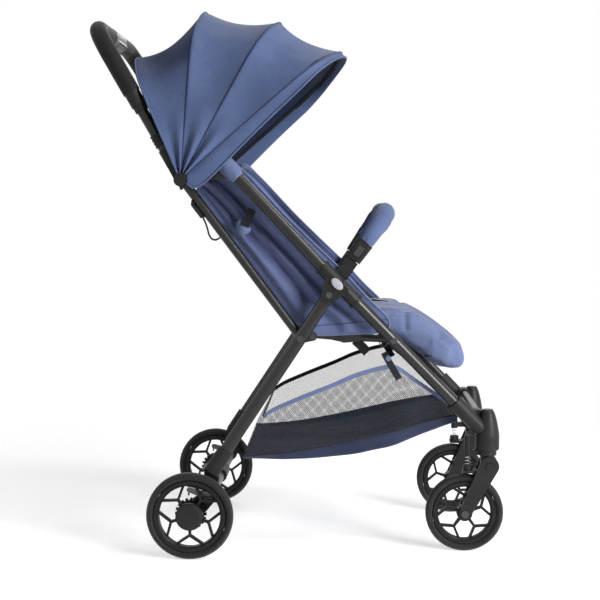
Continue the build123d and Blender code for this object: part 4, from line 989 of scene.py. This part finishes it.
press(front_pad, front_press)
bend(front_pad, "frame", "calf_rest", spot(380, 470), spot(425, 430))
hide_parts("seat_cushion", "calf_rest")
print("front pad made, with", len(front_pad.data.polygons), "faces")

# %% [markdown]
# The backrest is a flatter pad that rides its own hinge. Its outline is drawn in the backrest's
# own directions, up along it and ahead of it, so that its lean needs no second thought.

# %% Backrest
recline_pivot = side("recline")
back_way = unit(handle_pivot - side("back_fold"))
back_front = np.array([back_way[1], -back_way[0]])


def up_back(distance, ahead):
    """Side-view point up the backrest from its hinge, and ahead of its rear face."""
    return recline_pivot + back_way * distance + back_front * ahead


back_outline = [
    up_back(*place)
    for place in (
        (0.010, 0.004), (0.080, 0.002), (0.160, 0.001), (0.240, 0.002),
        (0.312, 0.003), (0.321, 0.010), (0.316, 0.019), (0.240, 0.022),
        (0.160, 0.023), (0.080, 0.024), (0.012, 0.022), (0.006, 0.013),
    )
]
back_pad = inflate(pad("back_pad", back_outline, ([0, 1], [0.159, 0.159])), 0.006)


def back_press(places, normals):
    """Two cross seams and two long seams on the front face."""
    up = (places[:, [0, 2]] - recline_pivot) @ back_way
    front = (normals[:, [0, 2]] @ back_front) > 0.2
    seams = groove(up - 0.115, 0.006) * 0.0045 + groove(up - 0.225, 0.006) * 0.0045
    seams += groove(np.abs(places[:, 1]) - 0.100, 0.006) * 0.004
    return drift(places, 11) * 0.0025 - seams * front


press(back_pad, back_press)
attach(back_pad, "backrest")
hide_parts("backrest")
print("back pad made, with", len(back_pad.data.polygons), "faces")

# %% [markdown]
# ## Side wings
#
# Each wing is a slack sheet sewn from the backrest's edge to the front tube, so long folds run
# down it. It could be hung in a simulation, but its folds would change with every setting. Here
# each fold is a row of four numbers that can be matched to the real one.

# %% Edges and folds of the wings
wing_rear = curve_points(spots((4, 695), (33, 657), (66, 607), (127, 516), (196, 421)), 61)
wing_front = curve_points(
    spots((60, 749), (94, 737), (186, 641), (284, 546), (330, 497), (372, 455), (374, 431)), 61
)
# each fold: its place across the wing, its lean, its half width and its depth
wing_folds = (
    (0.14, 0.06, 0.050, 0.0052), (0.35, 0.24, 0.078, 0.0125), (0.60, 0.20, 0.066, 0.0090),
    (0.80, -0.05, 0.050, 0.0056), (0.46, -0.26, 0.048, 0.0038),
)
rear_out, top_out, low_out, front_out = 0.1635, 0.1725, 0.1840, 0.2005
print("wing edges", [round(float(distances(edge)[-1]), 3) for edge in (wing_rear, wing_front)], "m")


# %% One wing's grid
def wing_points(sign, columns=73):
    """Grid of one wing's places, top to bottom and rear to front."""
    down = np.linspace(0, 1, len(wing_rear))[:, None]
    ahead = np.linspace(0, 1, columns)[None, :]
    flat = mix(wing_rear[:, None, :], wing_front[:, None, :], ahead[:, :, None])
    middle_out = mix(top_out, low_out, smooth(down / 0.7))
    depth = mix(middle_out, front_out, smooth((ahead - 0.56) / 0.30))
    depth = mix(rear_out, depth, smooth(ahead / 0.22))
    loose = smooth(ahead / 0.08) * smooth((1 - ahead) / 0.12) * smooth((1.03 - down) / 0.10)
    folds = 0.0012 * np.sin(2 * pi * (4.1 * ahead - 0.3 * down))
    for middle, lean, wide, deep in wing_folds:
        line = middle + lean * (down - 0.5) + 0.02 * np.sin(down * 7 + middle * 30)
        gap = (ahead - line) / wide
        folds = folds - deep * np.exp(-gap * gap) + 0.5 * deep * np.exp(-((gap - 1.6) ** 2))
    place = np.stack([flat[:, :, 0], depth, flat[:, :, 1]], -1)
    rumple = wobble(place, 9.0, 0.0040, 5.0 + sign) + wobble(place, 24.0, 0.0012, 2.0)
    place[:, :, 1] = (depth + (folds + rumple) * loose) * sign
    place[:, :, 2] -= 0.004 * np.sin(pi * ahead) * smooth((down - 0.9) / 0.1)
    return place


print("a wing reaches", round(float(wing_points(1)[:, :, 1].max()), 3), "m out")

# %% [markdown]
# A wing is sewn to the frame in front and to the backrest behind. Its hems and seams are cords on
# the same grid.

# %% Wings, hems and seams
both_sides = (("right", -1), ("left", 1))
for side_name, sign in both_sides:
    points = wing_points(sign)
    wing = sheet_grid(f"side_wing_{side_name}", points, wing_cloth)
    pieces = [thicken(wing, 0.0016, 0.0, True)]
    for name, path, radius, paint, count in (
        ("hem", points[-1], 0.0018, seat_cloth, 8),
        ("edge", points[:, -1], 0.0022, seat_cloth, 8),
        ("seam", points[:, -5] + (0, -0.0008 * sign, 0), 0.0009, seam_cloth, 6),
        ("low_seam", points[-4] + (0, 0.0010 * sign, 0), 0.0009, seam_cloth, 6),
    ):
        pieces.append(tube(f"wing_{name}_{side_name}", path, radius, paint, sides=count))
    for piece in pieces:
        bend(piece, "frame", "backrest", spot(228, 567), spot(170, 517))
    if sign < 0:
        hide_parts("side_wings")

# %% [markdown]
# A pocket of the same cloth is pulled over the top end of each front tube. It is a stack of oval
# rings along the tube, a little creased, which close over its end.

# %% Pockets on the tube tops
tube_top, hub = spot(79, 732), spot(280, 520)
tube_way = unit(tube_top - hub)
tube_side = np.array([-tube_way[1], tube_way[0]])
# each ring: its distance past the tube's top, its half width and its half depth
pocket_rings = (
    (-0.020, 0.0122, 0.0125), (-0.014, 0.0136, 0.0150), (-0.002, 0.0140, 0.0168),
    (0.010, 0.0140, 0.0170), (0.019, 0.0130, 0.0160), (0.026, 0.0100, 0.0130),
    (0.030, 0.0050, 0.0085), (0.031, 0.0012, 0.0040),
)
for side_name, sign in both_sides:
    rings = []
    for distance, wide, deep in pocket_rings:
        for a in 2 * pi * np.arange(24) / 24:
            crease = 1 + 0.05 * sin(5 * a + distance * 200)
            place = tube_top + tube_way * distance + tube_side * cos(a) * deep * crease
            rings.append(at(place, sign * 0.217 + sin(a) * wide * crease))
    faces = grid_faces(8, 24, False, True) + [end_face(8, 24)]
    pocket = make(f"tube_pocket_{side_name}", rings, faces, seat_cloth)
    thicken(pocket, 0.0012, 1.0, True)
    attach(pocket, "frame")

# %% [markdown]
# ## Basket
#
# It hangs between the legs: netting for its walls, a dark floor that sags, a blue strip round the
# floor and a bound edge round the mouth. A box with a picture of a basket would not do, because
# light falls through the net. So every part is its own sheet between curves of the side view.

# %% Lines of the basket
stations_along = 65
top_line, seam_line, edge_line = (
    curve_points(spots(*line), stations_along)
    for line in (
        (
            (136, 266), (160, 281), (213, 304), (265, 325), (313, 346),
            (366, 361), (390, 361), (428, 334), (466, 307), (489, 290),
        ),
        (
            (96, 186), (118, 187), (166, 191), (214, 198), (280, 211),
            (346, 226), (396, 238), (445, 250), (505, 262),
        ),
        (
            (95, 180), (116, 181), (165, 180), (206, 181), (246, 184),
            (302, 190), (346, 199), (384, 208), (430, 225), (508, 250),
        ),
    )
)
end_way = np.sin(np.linspace(0, pi, stations_along))
seam_inset, edge_inset = 0.005, 0.011
print("basket from", round(top_line[0][0], 3), "to", round(top_line[-1][0], 3), "m")


# %% A wall between two lines
def basket_half(x):
    """Half width of the basket at a place along it: it narrows ahead of the front legs' pins."""
    return np.interp(x - rear_axle[0], (0.392, 0.490), (0.1815, 0.150))


def basket_wall(upper, lower, inset_upper, inset_lower, rows, bulge=0.0):
    """Grid between two side-view lines, for the right side."""
    t = np.linspace(0, 1, rows)[:, None]
    flat = mix(upper[None], lower[None], t[:, :, None])
    half = basket_half(flat[:, :, 0]) - mix(inset_upper, inset_lower, t)
    half = half + bulge * np.sin(pi * t) * end_way[None, :]
    return np.stack([flat[:, :, 0], -half, flat[:, :, 1]], -1)


print("basket is", round(2 * float(basket_half(rear_axle[0])), 3), "m wide behind")

# %% [markdown]
# Each side has a net, a strip below it, a binding along the mouth and thin welts where sheets are
# sewn. The binding is blue on the right side, the near one. On the left side, the far one, it is
# painted dark instead: painted shade for a binding that lies in shadow.

# %% Side walls
basket_sheets, basket_trim = [], []
for side_name, sign in (("right", 1), ("left", -1)):
    mirror = (1, sign, 1)
    net = basket_wall(top_line, seam_line, 0.0, seam_inset, 29, -0.003)
    loose = np.sin(np.linspace(0, pi, 29))[:, None]
    net[:, :, 1] += wobble(net * mirror, 14.0, 0.004, 2.0) * loose
    strip = basket_wall(seam_line, edge_line, seam_inset, edge_inset, 7)
    strip[:, :, 1] += wobble(strip * mirror, 30.0, 0.0022, 4.0) * np.linspace(0, 1, 7)[:, None]
    for name, points, paint in (("net", net, net_cloth), ("strip", strip, strip_cloth)):
        piece = sheet_grid(f"basket_{name}_{side_name}", points * mirror, paint)
        basket_sheets.append((thicken(piece, 0.0010), points * mirror))
    # painted shade: the far left binding takes the dark binding paint, the near right one stays blue
    binding = seat_cloth if sign > 0 else binding_dark
    mouth = net[0] * mirror + (0, 0, -0.002)
    welts = (("welt", net[-1], 0.0016, binding_dark), ("low_welt", strip[-1], 0.0013, seam_cloth))
    name = f"basket_binding_{side_name}"
    basket_trim.append(ribbon(name, mouth, 0.0085, (0, 0, 1), 0.0030, binding))
    for name, path, radius, paint in welts:
        cord = tube(f"basket_{name}_{side_name}", path * mirror, radius, paint, None)
        basket_trim.append(cord)
print("side sheets", [piece.name for piece, _ in basket_sheets])

# %% [markdown]
# The floor is one sheet that hangs from the seam lines and sags between them, most in the middle.
# Nets close both ends, with a corded hem.

# %% The floor of the basket
c = np.linspace(-1, 1, 41)
drop = smooth((1 - abs(c)) / 0.10) * 0.35 + 0.65 * (1 - c * c) * end_way[:, None]
flat = mix(seam_line[:, None], edge_line[:, None], np.minimum(drop, 1)[:, :, None] * 0.8)
half = basket_half(seam_line[:, :1]) - 0.006
points = np.stack([flat[:, :, 0], c * half, flat[:, :, 1]], -1)
rumple = wobble(points, 9.0, 0.005, 7.0) + wobble(points, 26.0, 0.002, 1.0)
points[:, :, 2] += rumple * end_way[:, None] * np.sin(np.linspace(0, pi, 41))
piece = sheet_grid("basket_floor", points, basket_cloth)
basket_sheets.append((thicken(piece, 0.0016, 0.0, True), points))
print("floor grid", points.shape[:2])

# %% The basket's ends
for name, n, way in (("basket_rear", 0, -1), ("basket_front", -1, 1)):
    t, c = np.linspace(0, 1, 15)[:, None], np.linspace(-1, 1, 33)
    x, z = np.hsplit(mix(top_line[n], seam_line[n], t), 2)
    half = basket_half(x) - seam_inset * t
    belly = 0.004 * np.sin(pi * t) * way * (1 - c * c)
    points = np.stack([x + belly, c * half, z + 0 * c], -1)
    basket_sheets.append((thicken(sheet_grid(name, points, net_cloth), 0.0010), points))
    x, z = top_line[n]
    path = [(x, c * basket_half(x), z) for c in np.linspace(-1, 1, 25)]
    basket_trim.append(tube(f"{name}_hem", path, 0.0024, binding_dark))
print("end sheets", [piece.name for piece, _ in basket_sheets[-2:]])

# %% Hang the basket
for piece, points in basket_sheets + [(trim, None) for trim in basket_trim]:
    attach(piece, "frame")
    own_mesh(piece)
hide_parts("basket")
print("basket in", len(basket_sheets) + len(basket_trim), "pieces")

# %% [markdown]
# ## Bumper sleeve
#
# A padded blue sleeve covers the bumper's arch between its two cuffs. It could be a thicker tube,
# but cloth over foam is never quite round: it has a seam on its inner side and puckers where it
# turns the corners. So a fine tube is pressed in along its normals.

# %% The sleeve's path
bumper_foot = spot(294, 547)
bumper_way = np.array([cos(radians(55)), sin(radians(55))])
bumper_reach, bumper_corner, bumper_half, cuff_end = 0.128, 0.064, 0.194, 0.0615
inner_half, inner_reach = bumper_half - bumper_corner, bumper_reach - bumper_corner
half_path = [(-bumper_half, d) for d in np.linspace(cuff_end, inner_reach, 3)]
for a in np.linspace(0, pi / 2, 22)[1:]:
    half_path.append((-inner_half - bumper_corner * cos(a), inner_reach + bumper_corner * sin(a)))
half_path += [(y, bumper_reach) for y in np.linspace(-inner_half, 0, 24)[1:]]
bumper_path = half_path + [(-y, d) for y, d in half_path[-2::-1]]
bumper_line = np.array([at(bumper_foot + bumper_way * d, y) for y, d in bumper_path])
steps = distances(bumper_line)
from_end = np.minimum(steps, steps[-1] - steps)
print("sleeve length", round(float(steps[-1]), 3))


# %% The sleeve
def sleeve_press(places, normals):
    """A long seam on the inner side and puckers at the two corners."""
    inner = -(normals[:, 0] * bumper_way[1] - normals[:, 2] * bumper_way[0])
    seam = groove(inner - 0.2, 0.10) * (normals[:, [0, 2]] @ bumper_way < 0)
    corner = groove(np.abs(places[:, 1]) - 0.168, 0.030)
    pucker = np.sin(places[:, 1] * 900 + places[:, 2] * 700) * corner
    return -0.0018 * seam + 0.0008 * pucker + drift(places, 28) * 0.0014


sleeve_radius = mix(0.0165, 0.0192, smooth(from_end / 0.05)) + 0.0006 * np.sin(from_end * 150)
sleeve = subdivide(tube("bumper_sleeve", bumper_line, sleeve_radius, sleeve_cloth, sides=40))
press(sleeve, sleeve_press)
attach(sleeve, "bumper")
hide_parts("bumper_pad")
print("sleeve made, with", len(sleeve.data.polygons), "faces")

# %% [markdown]
# ## Harness
#
# Two shoulder straps, two waist straps and one between the legs meet at the buckle. Straps could
# be bent by eye, but they would float or sink in. So a ray drops each path onto the pad below it,
# and a flat ribbon follows it.


# %% Dropping points onto the pads
def surface(piece):
    """Search tree of a piece's faces."""
    return BVHTree.FromObject(piece, bpy.context.evaluated_depsgraph_get())


seat_tree, back_tree = surface(front_pad), surface(back_pad)
buckle_low, buckle_high = (np.array(corner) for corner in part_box("harness_buckle"))
buckle_mid = (buckle_low + buckle_high) / 2
strap_thickness = 0.0016


def on_seat(x, y, lift=0.0014):
    """Place just above the seat pad at x, y."""
    hit = seat_tree.ray_cast(Vector((x, y, 0.62)), Vector((0, 0, -1)))[0]
    return np.array(hit) + (0, 0, lift)


def on_back(up, y, lift=0.0014):
    """Place just in front of the back pad, this far up it from its hinge."""
    way = Vector((-back_front[0], 0, -back_front[1]))
    hit = back_tree.ray_cast(Vector(at(up_back(up, 0.20), y)), way)[0]
    return np.array(hit) - np.array(way) * lift


print("seat pad under the buckle at", on_seat(buckle_mid[0], 0).round(3))

# %% Five straps to the buckle
for side_name, sign in both_sides:
    shoulder = [on_back(up, sign * 0.040) for up in (0.285, 0.24, 0.20, 0.16, 0.12, 0.085)]
    hinge = on_back(0.045, sign * 0.032) * 0.5 + on_seat(buckle_low[0] - 0.030, sign * 0.026) * 0.5
    shoulder += [
        hinge + (0, 0, 0.006),
        on_seat(buckle_low[0] - 0.014, sign * 0.022, 0.004),
        (buckle_low[0] + 0.002, sign * 0.016, buckle_mid[2]),
    ]
    name, path = f"shoulder_strap_{side_name}", curve_points(shoulder, 40)
    strap = ribbon(name, path, 0.020, (0, 1, 0), strap_thickness, strap_cloth)
    bend(strap, "frame", "backrest", spot(290, 470), up_back(0.09, 0.03))
    waist = [
        on_seat(recline_pivot[0] + 0.048, sign * 0.112),
        on_seat(recline_pivot[0] + 0.064, sign * 0.092),
        on_seat(buckle_low[0] - 0.004, sign * 0.060),
        on_seat(buckle_low[0] + 0.006, sign * 0.036, 0.003),
        (buckle_mid[0], sign * 0.022, buckle_mid[2]),
    ]
    name, path = f"waist_strap_{side_name}", curve_points(waist, 30)
    across = np.cross(np.gradient(path, axis=0), (0, 0, 1))
    ribbon(name, path, 0.020, across, strap_thickness, strap_cloth, "frame")
crotch = [
    (buckle_high[0] - 0.002, 0, buckle_mid[2]),
    on_seat(buckle_high[0] + 0.012, 0, 0.003),
    on_seat(buckle_high[0] + 0.028, 0),
    on_seat(buckle_high[0] + 0.044, 0, 0.0),
]
path = curve_points(crotch, 24)
strap = ribbon("crotch_strap", path, 0.022, (0, 1, 0), strap_thickness, strap_cloth, "frame")
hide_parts("harness_straps")
print("buckle at", [round(float(v), 3) for v in buckle_mid])

# %% [markdown]
# ## Small straps and clips
#
# Small straps hang from the seat, hold the basket and tie the wing to the front tube. They all
# lie flat against the stroller's side, so one helper makes them from a few side-view points.


# %% Straps at the sides
def side_strap(name, path, out, width, paint, slot="webbing", thickness=0.0014, count=12):
    """Flat strap beside the seat, seen broadside: side-view points, this far out."""
    flat = curve_points(spots(*path), count)
    forward = np.gradient(flat, axis=0)
    across = np.stack([-forward[:, 1], 0 * forward[:, 0], forward[:, 0]], -1)
    return ribbon(name, [at(p, out) for p in flat], width, across, thickness, paint, "frame")


for side_name, sign in both_sides:
    path = ((366, 388), (380, 362), (395, 337))
    hanger = side_strap(f"basket_strap_{side_name}", path, sign * 0.1825, 0.013, strap_cloth)
    path = ((311, 409), (323, 398), (335, 385))
    side_strap(f"seat_strap_{side_name}", path, sign * 0.1600, 0.018, strap_cloth)
    path = ((117, 659), (110, 644), (103, 628))
    finish = {"paint": binding_dark, "thickness": 0.0018}
    side_strap(f"wing_strap_{side_name}", path, sign * 0.1965, 0.0155, **finish)
    loop = curve_points(spots((358, 418), (370, 416), (371, 400), (360, 399)), 28, True)
    path = [at(p, sign * 0.165) for p in loop]
    tube(f"wire_loop_{side_name}", path, 0.0011, dark_steel, "frame", closed=True)
    if sign < 0:
        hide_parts("seat_straps")
print("small straps", 3 * len(both_sides))

# %% [markdown]
# A snap button closes the basket's strap, a rounded tab ends the wing's strap, and a clip holds
# the side of the calf rest. The snap is a short stack of rings, the other two are thickened
# outlines.

# %% Snaps, tabs and clips
tab_outline = (
    (0.0135, 0), (0.0150, 0.004), (0.0150, 0.010), (0.006, 0.022),
    (-0.006, 0.022), (-0.0150, 0.010), (-0.0150, 0.004), (-0.0135, 0),
)
tab_top = spot(103, 631)
tab_way = unit(spot(90, 611) - tab_top)
tab_side = np.array([-tab_way[1], tab_way[0]])
for side_name, sign in both_sides:
    rings = [at(spot(374, 377), sign * out) for out in (0.1828, 0.1840, 0.1848, 0.1853)]
    radii = [0.0056, 0.0056, 0.0048, 0.0028]
    tube(f"strap_snap_{side_name}", rings, radii, seat_cloth, "frame", sides=24)
    outline = [at(tab_top + tab_way * d + tab_side * w, sign * 0.1935) for w, d in tab_outline]
    face = [tuple(range(len(outline)))]
    thicken(make(f"wing_tab_{side_name}", outline, face, seat_cloth, "frame"), 0.0024)
    outline = [at(p, sign * 0.1555) for p in spots((444, 377), (458, 377), (458, 381), (444, 381))]
    face = [(0, 1, 2, 3)]
    thicken(make(f"calf_clip_{side_name}", outline, face, plastic, "calf_rest"), 0.004)
print("tab", round(1000 * (tab_outline[0][0] - tab_outline[-1][0])), "mm wide at its strap")

# %% [markdown]
# ## Badge
#
# A small oval plate sits on each hub. A flat disc would not catch the light, so a few shrinking
# rings give it a low dome. It is left bare.

# %% Two bare badges
hub_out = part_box("hubs")[1][1]
leg_foot = spot(532, 260)
badge_way = unit(leg_foot - hub)
badge_side = np.array([badge_way[1], -badge_way[0]])
badge_middle, badge_long, badge_wide = spot(277, 521), 0.0135, 0.0080
for side_name, sign in both_sides:
    rings = []
    for size, out in ((1.0, -0.0005), (1.0, 0.0008), (0.94, 0.0015), (0.7, 0.0020), (0.35, 0.0023)):
        for a in 2 * pi * np.arange(40) / 40:
            ring = badge_way * cos(a) * badge_long * size + badge_side * sin(a) * badge_wide * size
            rings.append(at(badge_middle + ring, sign * (hub_out + out)))
    faces = grid_faces(5, 40, False, True) + [end_face(5, 40)]
    make(f"hub_badge_{side_name}", rings, faces, badge_plastic, "frame")
print("badges", round(2000 * badge_long), "by", round(2000 * badge_wide), "mm")

# %% [markdown]
